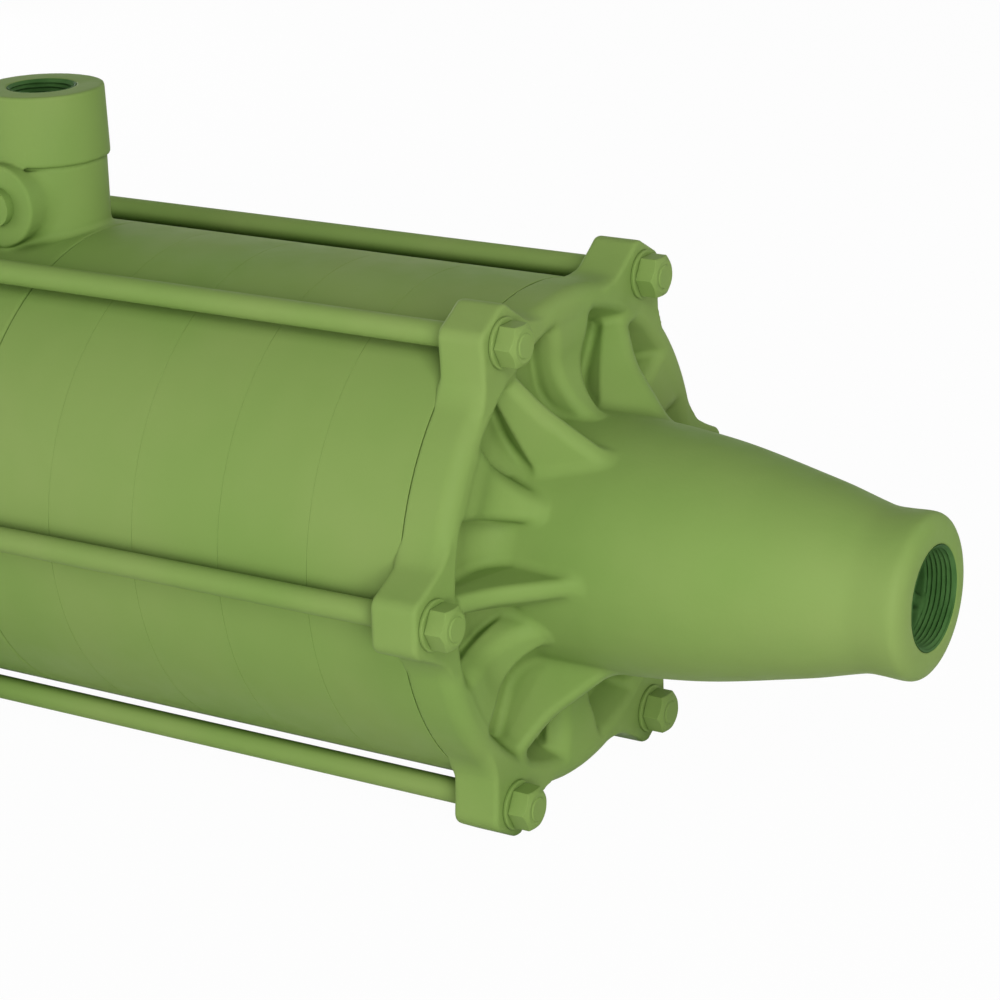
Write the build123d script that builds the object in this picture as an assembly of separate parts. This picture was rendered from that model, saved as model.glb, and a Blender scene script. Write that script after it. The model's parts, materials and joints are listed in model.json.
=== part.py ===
"""Bare shaft multistage pump with an axial suction nose, five stages and a top discharge.

The shaft axis is X and Z is up. The origin is on the shaft axis, in the face of the suction
mouth. The pump runs from there towards -X: suction casing, stage casings, discharge casing,
bearing bracket and bare shaft end. Lengths are in millimetres, and depths such as NOSE_LENGTH
are measured from the mouth, so a place on the axis is the negative of its depth.
"""
import os
from math import cos, hypot, radians, sin

from build123d import *

# Drum, tie rods, their nuts and lugs
STAGE_RADIUS = 121.0
ROD_COUNT = 6
ROD_STAND_OFF = 9.0
ROD_RADIUS = 6.0
ROD_HOLE_GAP = 0.5
ROD_END_STAND_OUT = 2.5
NUT_ACROSS_FLATS = 19.0
NUT_HEIGHT = 10.5
NUT_BORE_GAP = 0.05
LUG_MARGIN = 14.5
LUG_TIP_WIDTH = 24.0
LUG_SHOULDER_WIDTH = 39.0
LUG_SHOULDER_DROP = 17.5
LUG_ROOT_WIDTH = 54.0
LUG_ROUND = 4.0

# Suction casing
NOSE_LENGTH = 182.0
RIM_THICKNESS = 24.0
MOUTH_RADIUS = 23.9
MOUTH_THREAD_LENGTH = 14.0
MOUTH_THROAT_STEP = 2.0
MOUTH_LIP_ROUND = 3.5
COLLAR_RADIUS = 38.7
COLLAR_LENGTH = 17.0
WAIST_RADIUS = 38.2
WAIST_DEPTH = 26.0
NOSE_ROOT_RADIUS = 61.0
NOSE_ROOT_ROUND = 10.0
NOSE_SWELL_DEPTH = 160.0
NOSE_WALL = 10.0
RIM_ROUND = 8.0
RIM_LAND = 12.0
DISH_DEPTH = 16.5
DISH_SLOPE_WIDTH = 25.0
RIB_THICKNESS = 8.0
RIB_CREST_DEPTH = 146.0
RIB_CREST_INSET = 21.0
RIB_CREST_END_RADIUS = 57.0
RIB_CREST_SAG = 2.5
MID_RIB_THICKNESS = 7.0
MID_RIB_DROP = 4.0
POCKET_ROUND = 9.0
EYE_RADIUS = 38.0
SPIDER_RIB_COUNT = 3
SPIDER_RIB_THICKNESS = 6.0
SPIDER_TIP_RADIUS = 9.5
SPIDER_TIP_CHAMFER = 3.0
HUB_RADIUS = 20.0
HUB_REAR_GAP = 41.0
TAIL_BUSH_LENGTH = 32.0
TAIL_BUSH_WALL = 4.0
TAIL_JOURNAL_RADIUS = 10.0
TAIL_JOURNAL_END_GAP = 3.0

# Stages
STAGE_COUNT = 5
STAGE_PITCH = 50.0
STAGE_WALL = 10.5
STAGE_WEB = 8.0
SPIGOT_LENGTH = 4.0
SPIGOT_GAP = 0.1
IMPELLER_RIM_SPACE = 25.0
IMPELLER_TIP_GAP = 0.5
VANE_HEIGHT = 12.0
VANE_THICKNESS = 4.0
VANE_COUNT = 6
VANE_CURVE_SHARE = 0.38
VANE_INLET_RADIUS = 32.0
VANE_SWEEP = 50.0
VANE_TIP_STEP = 1.0
SHROUD_THICKNESS = 3.5
IMPELLER_HUB_RADIUS = 18.0
IMPELLER_HUB_LENGTH = 32.0
SLEEVE_RADIUS = 16.0

# Shaft and rotor fastenings
SHAFT_RADIUS = 12.5
SHAFT_SHOULDER_RADIUS = 16.0
SHAFT_END_RADIUS = 12.0
SHAFT_END_LENGTH = 70.0
SHAFT_COLLAR_LENGTH = 2.0
SHAFT_END_CHAMFER = 1.5
RUNNING_GAP = 0.05
SLIDE_GAP = 0.02
IMPELLER_NUT_ACROSS_FLATS = 32.0
IMPELLER_NUT_LENGTH = 14.0
KEY_WIDTH = 6.0
KEY_HEIGHT = 6.0
KEY_SEAT_DEPTH = 3.5
KEY_GAP = 0.05
END_KEYWAY_WIDTH = 8.0
END_KEYWAY_DEPTH = 4.0
END_KEYWAY_LENGTH = 28.0
END_KEYWAY_MARGIN = 5.0

# Discharge casing, its port and its feet
DISCHARGE_LENGTH = 96.0
DISCHARGE_END_WALL = 22.0
PORT_OFFSET = 36.0
PORT_HEIGHT = 71.0
PORT_BORE_RADIUS = 16.9
PORT_THREAD_LENGTH = 12.0
PORT_PASSAGE_RADIUS = 15.5
PORT_RIB_THICKNESS = 3.0
PORT_NECK_RADIUS = 30.8
PORT_NECK_FOOT_ROUND = 3.0
PORT_COLLAR_RADIUS = 32.8
PORT_COLLAR_HEIGHT = 36.0
PORT_COLLAR_CHAMFER = 1.0
BOSS_RADIUS = 21.0
BOSS_LIFT = 17.0
BOSS_FACE = 40.0
PLUG_RADIUS = 6.5
PLUG_LENGTH = 12.0
PLUG_HEAD_RADIUS = 9.8
PLUG_HEAD_HEIGHT = 5.0
PLUG_SOCKET_ACROSS_FLATS = 8.0
DRAIN_PLUG_LENGTH = 10.0
SOLE_DROP = 8.5
FOOT_INSET = 5.0
FOOT_WIDTH = 64.0
FOOT_LENGTH = 40.0
FOOT_THICKNESS = 9.0
FOOT_WEB_THICKNESS = 10.0
FOOT_WEB_ANGLE = 125.0
FOOT_HOLE_RADIUS = 7.0
FOOT_HOLE_INSET = 16.0
FOOT_HOLE_SHARE = 0.67

# Shaft seal
SEAL_CHAMBER_RADIUS = 24.0
SEAL_CHAMBER_DEPTH = 22.0
SEAL_NECK_RADIUS = 38.0
SEAL_NECK_LENGTH = 8.0
SHAFT_PASS_GAP = 1.5
SEAL_COVER_THICKNESS = 10.0
SEAL_SEAT_RADIUS = 20.0
SEAL_SEAT_THICKNESS = 7.0
SEAL_SEAT_STAND = 1.0
SEAL_FACE_RADIUS = 19.0
SEAL_RING_THICKNESS = 9.0
SEAL_SPRING_LENGTH = 12.0
SEAL_SPRING_RADIUS = 16.5
SEAL_FACE_GAP = 0.3

# Bearing bracket, bearings and cover
BRACKET_FLANGE_RADIUS = 88.0
BRACKET_FLANGE_THICKNESS = 12.0
BRACKET_REGISTER_RADIUS = 52.0
BRACKET_REGISTER_LENGTH = 4.0
BRACKET_CONE_RADIUS = 66.0
BRACKET_CONE_LENGTH = 58.0
BRACKET_CONE_STEP = 6.0
BRACKET_CAVITY_RADIUS = 42.0
WINDOW_MARGIN = 7.0
WINDOW_HEIGHT = 50.0
WINDOW_ROUND = 8.0
HOUSING_RADIUS = 44.0
HOUSING_WALL_THICKNESS = 9.0
HOUSING_LENGTH = 84.0
HOUSING_FLANGE_RADIUS = 52.0
HOUSING_FLANGE_THICKNESS = 12.0
BEARING_OUTER_RADIUS = 31.0
BEARING_WIDTH = 17.0
BEARING_OUTER_RING_INNER_RADIUS = 26.5
BEARING_INNER_RING_OUTER_RADIUS = 17.5
BEARING_SEAT_GAP = 0.02
LOCKNUT_RADIUS = 19.0
LOCKNUT_WIDTH = 7.0
COVER_SPIGOT_LENGTH = 5.0
COVER_CAVITY_GAP = 3.0
COVER_CAVITY_STEP = 2.0
LIP_SEAL_RADIUS = 18.0
LIP_SEAL_WIDTH = 5.0
FLINGER_RADIUS = 20.0
FLINGER_WIDTH = 5.0
FLINGER_GAP = 2.0

# Screws of the bearing bracket
SCREW_COUNT = 4
SCREW_CIRCLE = 77.0
SCREW_RADIUS = 5.0
SCREW_LENGTH = 26.0
SCREW_ACROSS_FLATS = 16.0
SCREW_HEAD_HEIGHT = 6.5
SCREW_HOLE_GAP = 0.1
SCREW_TIP_SPACE = 2.0

# Radii and heights that follow the drum
ROD_CIRCLE = STAGE_RADIUS + ROD_STAND_OFF
LUG_OUTER_RADIUS = ROD_CIRCLE + LUG_MARGIN
STAGE_BORE_RADIUS = STAGE_RADIUS - STAGE_WALL
SPIGOT_RADIUS = STAGE_BORE_RADIUS - SPIGOT_GAP
RIM_INNER_RADIUS = STAGE_RADIUS - RIM_LAND
DISH_FLOOR_RADIUS = RIM_INNER_RADIUS - DISH_SLOPE_WIDTH
RIB_CREST_START = STAGE_RADIUS - RIB_CREST_INSET
IMPELLER_RADIUS = STAGE_BORE_RADIUS - IMPELLER_RIM_SPACE
PORT_TOP = STAGE_RADIUS + PORT_HEIGHT
BOSS_HEIGHT = STAGE_RADIUS + BOSS_LIFT
SOLE_HEIGHT = -STAGE_RADIUS - SOLE_DROP
FOOT_REACH = STAGE_RADIUS - FOOT_INSET
FOOT_INNER = FOOT_REACH - FOOT_WIDTH
FOOT_HOLE_SPREAD = FOOT_REACH - FOOT_HOLE_INSET

# Places along the axis
RIM_FACE = -NOSE_LENGTH
FIRST_SEAM = RIM_FACE - RIM_THICKNESS
LAST_SEAM = FIRST_SEAM - STAGE_COUNT * STAGE_PITCH
END_FACE = LAST_SEAM - DISCHARGE_LENGTH
PORT_X = LAST_SEAM - PORT_OFFSET
DISH_FLOOR = RIM_FACE - DISH_DEPTH
HUB_REAR = FIRST_SEAM + HUB_REAR_GAP
BUSH_FRONT = HUB_REAR + TAIL_BUSH_LENGTH
SHAFT_FRONT = BUSH_FRONT - TAIL_JOURNAL_END_GAP
STACK_FRONT = FIRST_SEAM - SPIGOT_LENGTH - IMPELLER_TIP_GAP
STACK_REAR = STACK_FRONT - STAGE_COUNT * STAGE_PITCH
CHAMBER_END = END_FACE + DISCHARGE_END_WALL
SEAL_FACE = END_FACE - SEAL_NECK_LENGTH
SEAL_PLANE = SEAL_FACE + SEAL_SEAT_STAND
SEAL_RING_REAR = SEAL_PLANE + SEAL_FACE_GAP
SEAL_RING_FRONT = SEAL_RING_REAR + SEAL_RING_THICKNESS
SEAL_SPRING_FRONT = SEAL_RING_FRONT + SEAL_SPRING_LENGTH
FLANGE_REAR = END_FACE - BRACKET_FLANGE_THICKNESS
CONE_REAR = FLANGE_REAR - BRACKET_CONE_LENGTH
BEARING_FRONT = CONE_REAR - HOUSING_WALL_THICKNESS
HOUSING_REAR = CONE_REAR - HOUSING_LENGTH
BEARING_REAR = HOUSING_REAR + COVER_SPIGOT_LENGTH
LOCKNUT_REAR = BEARING_REAR - LOCKNUT_WIDTH
COVER_CAVITY = LOCKNUT_REAR - COVER_CAVITY_GAP
LIP_SEAL_REAR = COVER_CAVITY - LIP_SEAL_WIDTH
JOURNAL_FRONT = LIP_SEAL_REAR - SHAFT_COLLAR_LENGTH
SHAFT_REAR = JOURNAL_FRONT - SHAFT_END_LENGTH


def around(angle, radius, x=0.0):
    """Point at an angle from +Z towards -Y, on a circle about the shaft axis."""
    return (x, -radius * sin(radians(angle)), radius * cos(radians(angle)))


def turned(points, rounds=()):
    """Solid of revolution about X from (x, radius) points, with some corners rounded."""
    face = make_face(Polyline(*points, close=True))
    for (x, radius), size in rounds:
        corner = face.vertices().sort_by_distance((x, radius))[0]
        face = fillet(corner, size)
    return revolve(face, axis=Axis.X)


def rod(x_from, x_to, radius, centre=(0.0, 0.0)):
    """Cylinder along X between two places, centred on a (y, z) point."""
    low, high = min(x_from, x_to), max(x_from, x_to)
    plane = Plane(origin=(low, centre[0], centre[1]), x_dir=(0, 1, 0), z_dir=(1, 0, 0))
    return extrude(plane * Circle(radius), amount=high - low)


def tube(x_from, x_to, outer, inner):
    """Plain ring about the shaft axis."""
    return rod(x_from, x_to, outer) - rod(x_from, x_to, inner)


def hexagon(x_from, x_to, across_flats, centre=(0.0, 0.0), turn=0.0):
    """Hexagonal prism along X."""
    low, high = min(x_from, x_to), max(x_from, x_to)
    plane = Plane(origin=(low, centre[0], centre[1]), x_dir=(0, 1, 0), z_dir=(1, 0, 0))
    outline = RegularPolygon(across_flats / 2, 6, major_radius=False, rotation=turn)
    return extrude(plane * outline, amount=high - low)


def spun(shape, count, start=0.0):
    """Copies of a shape, spread evenly about the shaft axis."""
    return [shape.rotate(Axis.X, start + 360.0 * i / count) for i in range(count)]


def joined(first, others):
    """Fuse a list of solids onto the first."""
    for other in others:
        first = first + other
    return first


def without(body, cutters):
    """Cut a list of solids out of a body."""
    for cutter in cutters:
        body = body - cutter
    return body


def rod_angles():
    """Angles of the tie rods: the first pair stands 30 degrees either side of the top."""
    return [360.0 * (i + 0.5) / ROD_COUNT for i in range(ROD_COUNT)]


def lug(x_from, x_to):
    """Lug for a tie rod, standing up along +Z, whose flared foot reaches into the drum."""
    tip, shoulder, foot_width = LUG_TIP_WIDTH / 2, LUG_SHOULDER_WIDTH / 2, LUG_ROOT_WIDTH / 2
    shoulder_radius = LUG_OUTER_RADIUS - LUG_SHOULDER_DROP
    root = STAGE_RADIUS - STAGE_WALL / 2
    plane = Plane(origin=(min(x_from, x_to), 0, 0), x_dir=(0, 1, 0), z_dir=(1, 0, 0))
    outline = make_face(Polyline(
        (-foot_width, root), (-shoulder, shoulder_radius), (-tip, LUG_OUTER_RADIUS),
        (tip, LUG_OUTER_RADIUS), (shoulder, shoulder_radius), (foot_width, root), close=True))
    outline = fillet(outline.vertices().group_by(Axis.Y)[-1], LUG_ROUND)
    return extrude(plane * outline, amount=abs(x_to - x_from))


def ring_of_lugs(x_from, x_to):
    """The lugs of one casing, cut flat underneath at the height of the soles."""
    low, high = min(x_from, x_to), max(x_from, x_to)
    reach = 2 * LUG_OUTER_RADIUS
    below = Pos((low + high) / 2, 0, SOLE_HEIGHT - reach / 2) * Box(high - low, reach, reach)
    standing = lug(x_from, x_to)
    return [standing.rotate(Axis.X, angle) - below for angle in rod_angles()]


def rod_holes(x_from, x_to):
    """Clearance holes for the tie rods."""
    radius = ROD_RADIUS + ROD_HOLE_GAP
    return [rod(x_from, x_to, radius, around(a, ROD_CIRCLE)[1:]) for a in rod_angles()]


def nose_outline():
    """Outer curve of the nose from the collar back to its root, as (x, radius) points."""
    span = NOSE_SWELL_DEPTH - WAIST_DEPTH
    rise = NOSE_ROOT_RADIUS - WAIST_RADIUS
    shares = [(0.18, 0.29), (0.43, 0.61), (0.69, 0.86), (0.85, 0.955)]
    return [(-WAIST_DEPTH - a * span, WAIST_RADIUS + b * rise) for a, b in shares]


def nose_body():
    """Solid nose: rounded collar, waist and swelling cone that flares into the dish floor."""
    lip = COLLAR_RADIUS - MOUTH_LIP_ROUND
    front = Line((0, 0), (0, lip))
    edge = RadiusArc((0, lip), (-MOUTH_LIP_ROUND, COLLAR_RADIUS), -MOUTH_LIP_ROUND)
    side = Spline(
        (-MOUTH_LIP_ROUND, COLLAR_RADIUS), (-COLLAR_LENGTH, (COLLAR_RADIUS + WAIST_RADIUS) / 2),
        (-WAIST_DEPTH, WAIST_RADIUS), *nose_outline(), (-NOSE_SWELL_DEPTH, NOSE_ROOT_RADIUS),
        tangents=[(-1, 0), (-1, 0)])
    flare_start = (DISH_FLOOR + NOSE_ROOT_ROUND, NOSE_ROOT_RADIUS)
    flare_end = (DISH_FLOOR, NOSE_ROOT_RADIUS + NOSE_ROOT_ROUND)
    level = Line((-NOSE_SWELL_DEPTH, NOSE_ROOT_RADIUS), flare_start)
    flare = RadiusArc(flare_start, flare_end, NOSE_ROOT_ROUND)
    back = Polyline(flare_end, (DISH_FLOOR, 0), (0, 0))
    return revolve(make_face([front, edge, side, level, flare, *back.edges()]), axis=Axis.X)


def nose_passage():
    """Water passage: threaded mouth, widening cone and the eye of the first impeller."""
    throat = MOUTH_RADIUS - MOUTH_THROAT_STEP
    wide = NOSE_ROOT_RADIUS - NOSE_WALL
    return turned([
        (0, 0), (0, MOUTH_RADIUS), (-MOUTH_THREAD_LENGTH, MOUTH_RADIUS),
        (-MOUTH_THREAD_LENGTH, throat), (-NOSE_SWELL_DEPTH, wide),
        (HUB_REAR, wide), (DISH_FLOOR, EYE_RADIUS),
        (FIRST_SEAM - SPIGOT_LENGTH, EYE_RADIUS), (FIRST_SEAM - SPIGOT_LENGTH, 0)])


def spider():
    """Streamlined hub for the tail bearing and the three long ribs that carry it."""
    tip = -MOUTH_THREAD_LENGTH
    hub = turned([
        (tip, 0), (tip, SPIDER_TIP_RADIUS - SPIDER_TIP_CHAMFER),
        (tip - SPIDER_TIP_CHAMFER, SPIDER_TIP_RADIUS),
        (BUSH_FRONT + HUB_RADIUS, HUB_RADIUS), (HUB_REAR, HUB_RADIUS), (HUB_REAR, 0)])
    reach = NOSE_ROOT_RADIUS - NOSE_WALL / 2
    rib = extrude(Plane.XZ * make_face(Polyline(
        (tip, 0), (tip, MOUTH_RADIUS), (-NOSE_SWELL_DEPTH, reach), (HUB_REAR, reach),
        (HUB_REAR, 0), close=True)), amount=SPIDER_RIB_THICKNESS / 2, both=True)
    return joined(hub, spun(rib, SPIDER_RIB_COUNT))


def between_ribs(half_angle, first_rib, second_rib, x_from, x_to):
    """Prism between two radial ribs, centred on +Z, with its outer corners rounded."""
    outline = []
    for side, rib in ((1, first_rib), (-1, second_rib)):
        along = (side * sin(radians(half_angle)), cos(radians(half_angle)))
        inward = (-side * along[1] * rib / 2, side * along[0] * rib / 2)
        for radius in (NOSE_ROOT_RADIUS / 2, STAGE_RADIUS):
            outline.append((along[0] * radius + inward[0], along[1] * radius + inward[1]))
    near_a, far_a, near_b, far_b = outline
    face = make_face(Polyline(near_a, far_a, far_b, near_b, close=True))
    face = face & Circle(RIM_INNER_RADIUS)
    outer = face.vertices().filter_by(lambda v: hypot(v.X, v.Y) > DISH_FLOOR_RADIUS)
    face = fillet(outer, POCKET_ROUND)
    plane = Plane(origin=(x_from, 0, 0), x_dir=(0, 1, 0), z_dir=(1, 0, 0))
    return extrude(plane * face, amount=x_to - x_from)


def dish():
    """Everything in front of the dished face: flat floor, sloping wall and open front."""
    return turned([
        (DISH_FLOOR, 0), (DISH_FLOOR, DISH_FLOOR_RADIUS), (RIM_FACE, RIM_INNER_RADIUS),
        (0, RIM_INNER_RADIUS), (0, 0)])


def suction_casing():
    """Ribbed front casing with its nose, tie rod lugs and inner spider."""
    rear = FIRST_SEAM
    drum = turned([(RIM_FACE, 0), (RIM_FACE, STAGE_RADIUS), (rear, STAGE_RADIUS),
                   (rear, SPIGOT_RADIUS), (rear - SPIGOT_LENGTH, SPIGOT_RADIUS),
                   (rear - SPIGOT_LENGTH, 0)], [((RIM_FACE, STAGE_RADIUS), RIM_ROUND)])
    start = (RIM_FACE, RIB_CREST_START)
    end = (-RIB_CREST_DEPTH, RIB_CREST_END_RADIUS)
    crest_line = SagittaArc(start, end, RIB_CREST_SAG)
    crest_back = Polyline(end, (end[0], 0), (start[0], 0), start)
    crest = revolve(make_face([crest_line, *crest_back.edges()]), axis=Axis.X)
    body = joined(drum + crest, ring_of_lugs(RIM_FACE, rear))
    half_pitch = 180.0 / ROD_COUNT
    wide = between_ribs(half_pitch, RIB_THICKNESS, RIB_THICKNESS, RIM_FACE - MID_RIB_DROP, 0)
    narrow = between_ribs(half_pitch / 2, RIB_THICKNESS, MID_RIB_THICKNESS, DISH_FLOOR, 0)
    space = dish()
    cutters = spun(wide & space, ROD_COUNT)
    cutters += spun(narrow & space, ROD_COUNT, half_pitch / 2)
    mirrored = (narrow & space).mirror(Plane.XZ)
    cutters += spun(mirrored, ROD_COUNT, -half_pitch / 2)
    body = without(body, cutters) + nose_body()
    body = body - nose_passage() + spider()
    seat = TAIL_JOURNAL_RADIUS + TAIL_BUSH_WALL
    body = body - rod(HUB_REAR, BUSH_FRONT, seat)
    return without(body, rod_holes(rear, RIM_FACE))


def stage_casing(seam):
    """Ring with the web that leads the water into the eye of the next impeller."""
    rear = seam - STAGE_PITCH
    return turned([
        (seam, STAGE_BORE_RADIUS), (seam, STAGE_RADIUS), (rear, STAGE_RADIUS),
        (rear, SPIGOT_RADIUS), (rear - SPIGOT_LENGTH, SPIGOT_RADIUS),
        (rear - SPIGOT_LENGTH, EYE_RADIUS), (rear + STAGE_WEB, EYE_RADIUS),
        (rear + STAGE_WEB, STAGE_BORE_RADIUS)])


def vane(x_from, x_to):
    """Backward curved vane between the impeller's inlet and its rim."""
    sides = []
    span = IMPELLER_RADIUS - VANE_TIP_STEP - VANE_INLET_RADIUS
    for shift in (-VANE_THICKNESS / 2, VANE_THICKNESS / 2):
        points = []
        for share in (0, VANE_CURVE_SHARE, 1):
            reach = 0.5 if share == VANE_CURVE_SHARE else share
            across, up = around(VANE_SWEEP * share, VANE_INLET_RADIUS + reach * span)[1:]
            points.append((across + shift, up))
        sides.append(ThreePointArc(*points))
    near, far = sides
    outline = make_face([near, far, Line(near @ 0, far @ 0), Line(near @ 1, far @ 1)])
    plane = Plane(origin=(x_from, 0, 0), x_dir=(0, 1, 0), z_dir=(1, 0, 0))
    return extrude(plane * outline, amount=x_to - x_from)


def impeller(front):
    """Semi-open impeller: hub, back shroud and vanes that run close to the web before it."""
    shroud_front = front - VANE_HEIGHT
    shroud_rear = shroud_front - SHROUD_THICKNESS
    rear = front - IMPELLER_HUB_LENGTH
    body = turned([
        (front, SHAFT_RADIUS + SLIDE_GAP), (front, IMPELLER_HUB_RADIUS),
        (shroud_front, IMPELLER_HUB_RADIUS), (shroud_front, IMPELLER_RADIUS),
        (shroud_rear, IMPELLER_RADIUS), (shroud_rear, IMPELLER_HUB_RADIUS),
        (rear, IMPELLER_HUB_RADIUS), (rear, SHAFT_RADIUS + SLIDE_GAP)])
    body = joined(body, spun(vane(shroud_front, front), VANE_COUNT))
    return body - keyway_slot(front, rear, KEY_GAP)


def keyway_slot(x_from, x_to, gap):
    """Space of the impeller key, between two places, widened by a gap on its sides and top."""
    top = SHAFT_RADIUS - KEY_SEAT_DEPTH + KEY_HEIGHT + gap
    height = top - (SHAFT_RADIUS - KEY_SEAT_DEPTH)
    middle = (x_from + x_to) / 2
    box = Box(abs(x_to - x_from), KEY_WIDTH + 2 * gap, height)
    return Pos(middle, 0, top - height / 2) * box


def spacer_sleeves():
    """Sleeves between the impeller hubs, and from the last hub to the shaft's shoulder."""
    group = []
    for i in range(STAGE_COUNT):
        start = STACK_FRONT - i * STAGE_PITCH - IMPELLER_HUB_LENGTH
        end = STACK_FRONT - (i + 1) * STAGE_PITCH
        ring = tube(start, end, SLEEVE_RADIUS, SHAFT_RADIUS + SLIDE_GAP)
        if i < STAGE_COUNT - 1:
            ring = ring - keyway_slot(start, end, KEY_GAP)
        group.append(ring)
    return Compound(group)


def shaft():
    """Stepped shaft from the tail journal to the bare drive end."""
    nut_front = STACK_FRONT + IMPELLER_NUT_LENGTH
    body = turned([
        (SHAFT_FRONT, 0), (SHAFT_FRONT, TAIL_JOURNAL_RADIUS),
        (nut_front, TAIL_JOURNAL_RADIUS), (nut_front, SHAFT_RADIUS),
        (STACK_REAR, SHAFT_RADIUS), (STACK_REAR, SHAFT_SHOULDER_RADIUS),
        (SEAL_SPRING_FRONT, SHAFT_SHOULDER_RADIUS), (SEAL_SPRING_FRONT, SHAFT_RADIUS),
        (JOURNAL_FRONT, SHAFT_RADIUS), (JOURNAL_FRONT, SHAFT_END_RADIUS),
        (SHAFT_REAR + SHAFT_END_CHAMFER, SHAFT_END_RADIUS),
        (SHAFT_REAR, SHAFT_END_RADIUS - SHAFT_END_CHAMFER), (SHAFT_REAR, 0)])
    key_front, key_rear = key_span()
    body = body - keyway_slot(key_front, key_rear, 0)
    middle = SHAFT_REAR + END_KEYWAY_MARGIN + END_KEYWAY_LENGTH / 2
    slot = extrude(Plane.XY.offset(SHAFT_END_RADIUS - END_KEYWAY_DEPTH) * Pos(middle, 0)
                   * SlotOverall(END_KEYWAY_LENGTH, END_KEYWAY_WIDTH), amount=END_KEYWAY_DEPTH * 2)
    return body - slot


def key_span():
    """Front and rear end of the long key that drives all impellers."""
    return STACK_FRONT, STACK_FRONT - (STAGE_COUNT - 1) * STAGE_PITCH - IMPELLER_HUB_LENGTH


def impeller_key():
    """Long parallel key."""
    front, rear = key_span()
    top = SHAFT_RADIUS - KEY_SEAT_DEPTH + KEY_HEIGHT
    return Pos((front + rear) / 2, 0, top - KEY_HEIGHT / 2) * Box(
        front - rear, KEY_WIDTH, KEY_HEIGHT)


def impeller_nut():
    """Hexagon nut that clamps the impeller stack against the shoulder."""
    front = STACK_FRONT + IMPELLER_NUT_LENGTH
    body = hexagon(STACK_FRONT, front, IMPELLER_NUT_ACROSS_FLATS)
    return body - rod(STACK_FRONT, front, SHAFT_RADIUS + SLIDE_GAP)


def tail_bush():
    """Plain bearing bush in the hub of the suction casing."""
    return tube(HUB_REAR, BUSH_FRONT, TAIL_JOURNAL_RADIUS + TAIL_BUSH_WALL - SLIDE_GAP,
                TAIL_JOURNAL_RADIUS + RUNNING_GAP)


def upright(radius, z_from, z_to, x=0.0, y=0.0):
    """Cylinder along Z."""
    return extrude(Plane.XY.offset(z_from) * Pos(x, y) * Circle(radius), amount=z_to - z_from)


def discharge_port():
    """Neck of the discharge, which reaches into the drum, and its chamfered collar."""
    collar_foot = PORT_TOP - PORT_COLLAR_HEIGHT
    neck = upright(PORT_NECK_RADIUS, 0, collar_foot, PORT_X)
    collar = upright(PORT_COLLAR_RADIUS, collar_foot, PORT_TOP, PORT_X)
    collar = chamfer(collar.edges().group_by(Axis.Z)[-1], PORT_COLLAR_CHAMFER)
    return neck, collar


def port_cut():
    """Threaded top, passage down into the chamber and the splitter rib left standing in it."""
    thread = upright(PORT_BORE_RADIUS, PORT_TOP - PORT_THREAD_LENGTH, PORT_TOP, PORT_X)
    passage = upright(PORT_PASSAGE_RADIUS, STAGE_BORE_RADIUS - STAGE_WALL,
                      PORT_TOP - PORT_THREAD_LENGTH, PORT_X)
    rib = Pos(PORT_X, 0, PORT_TOP - PORT_THREAD_LENGTH - PORT_COLLAR_HEIGHT / 2) * Box(
        PORT_RIB_THICKNESS, 2 * PORT_BORE_RADIUS, PORT_COLLAR_HEIGHT)
    return thread + (passage - rib)


def gauge_boss():
    """Round boss on the camera side of the neck for the gauge plug."""
    plane = Plane(origin=(PORT_X, 0, BOSS_HEIGHT), x_dir=(1, 0, 0), z_dir=(0, -1, 0))
    return extrude(plane * Circle(BOSS_RADIUS), amount=BOSS_FACE)


def gauge_hole(radius, depth):
    """Round hole in the face of the gauge boss."""
    plane = Plane(origin=(PORT_X, -BOSS_FACE, BOSS_HEIGHT), x_dir=(1, 0, 0), z_dir=(0, 1, 0))
    return extrude(plane * Circle(radius), amount=depth)


def foot(side):
    """Foot pad under a rear lug, with a web up to the drum."""
    pad_top = SOLE_HEIGHT + FOOT_THICKNESS
    width = FOOT_REACH - FOOT_INNER
    pad = Pos(END_FACE + FOOT_LENGTH / 2, side * (FOOT_INNER + width / 2),
              SOLE_HEIGHT + FOOT_THICKNESS / 2) * Box(FOOT_LENGTH, width, FOOT_THICKNESS)
    inner = STAGE_RADIUS - DISCHARGE_END_WALL
    _, drum_y, drum_z = around(FOOT_WEB_ANGLE, STAGE_RADIUS)
    _, inner_y, inner_z = around(FOOT_WEB_ANGLE, inner)
    outline = make_face(Polyline(
        (side * FOOT_INNER, SOLE_HEIGHT), (side * FOOT_REACH, SOLE_HEIGHT),
        (side * FOOT_REACH, pad_top), (side * -drum_y, drum_z), (side * -inner_y, inner_z),
        (side * FOOT_INNER, inner_z), close=True))
    plane = Plane(origin=(END_FACE, 0, 0), x_dir=(0, 1, 0), z_dir=(1, 0, 0))
    web = extrude(plane * outline, amount=FOOT_WEB_THICKNESS)
    hole = upright(FOOT_HOLE_RADIUS, SOLE_HEIGHT, pad_top,
                   END_FACE + FOOT_LENGTH * FOOT_HOLE_SHARE, side * FOOT_HOLE_SPREAD)
    return pad + web - hole


def drain_hole():
    """Hole for the drain plug in the lowest line of the drum."""
    return upright(PLUG_RADIUS + SCREW_HOLE_GAP, -STAGE_RADIUS - PLUG_RADIUS,
                   PLUG_RADIUS - STAGE_BORE_RADIUS, PORT_X)


def screw_circle(shape):
    """A shape repeated at each of the bracket's screws."""
    return spun(shape, SCREW_COUNT, 180.0 / SCREW_COUNT)


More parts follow.
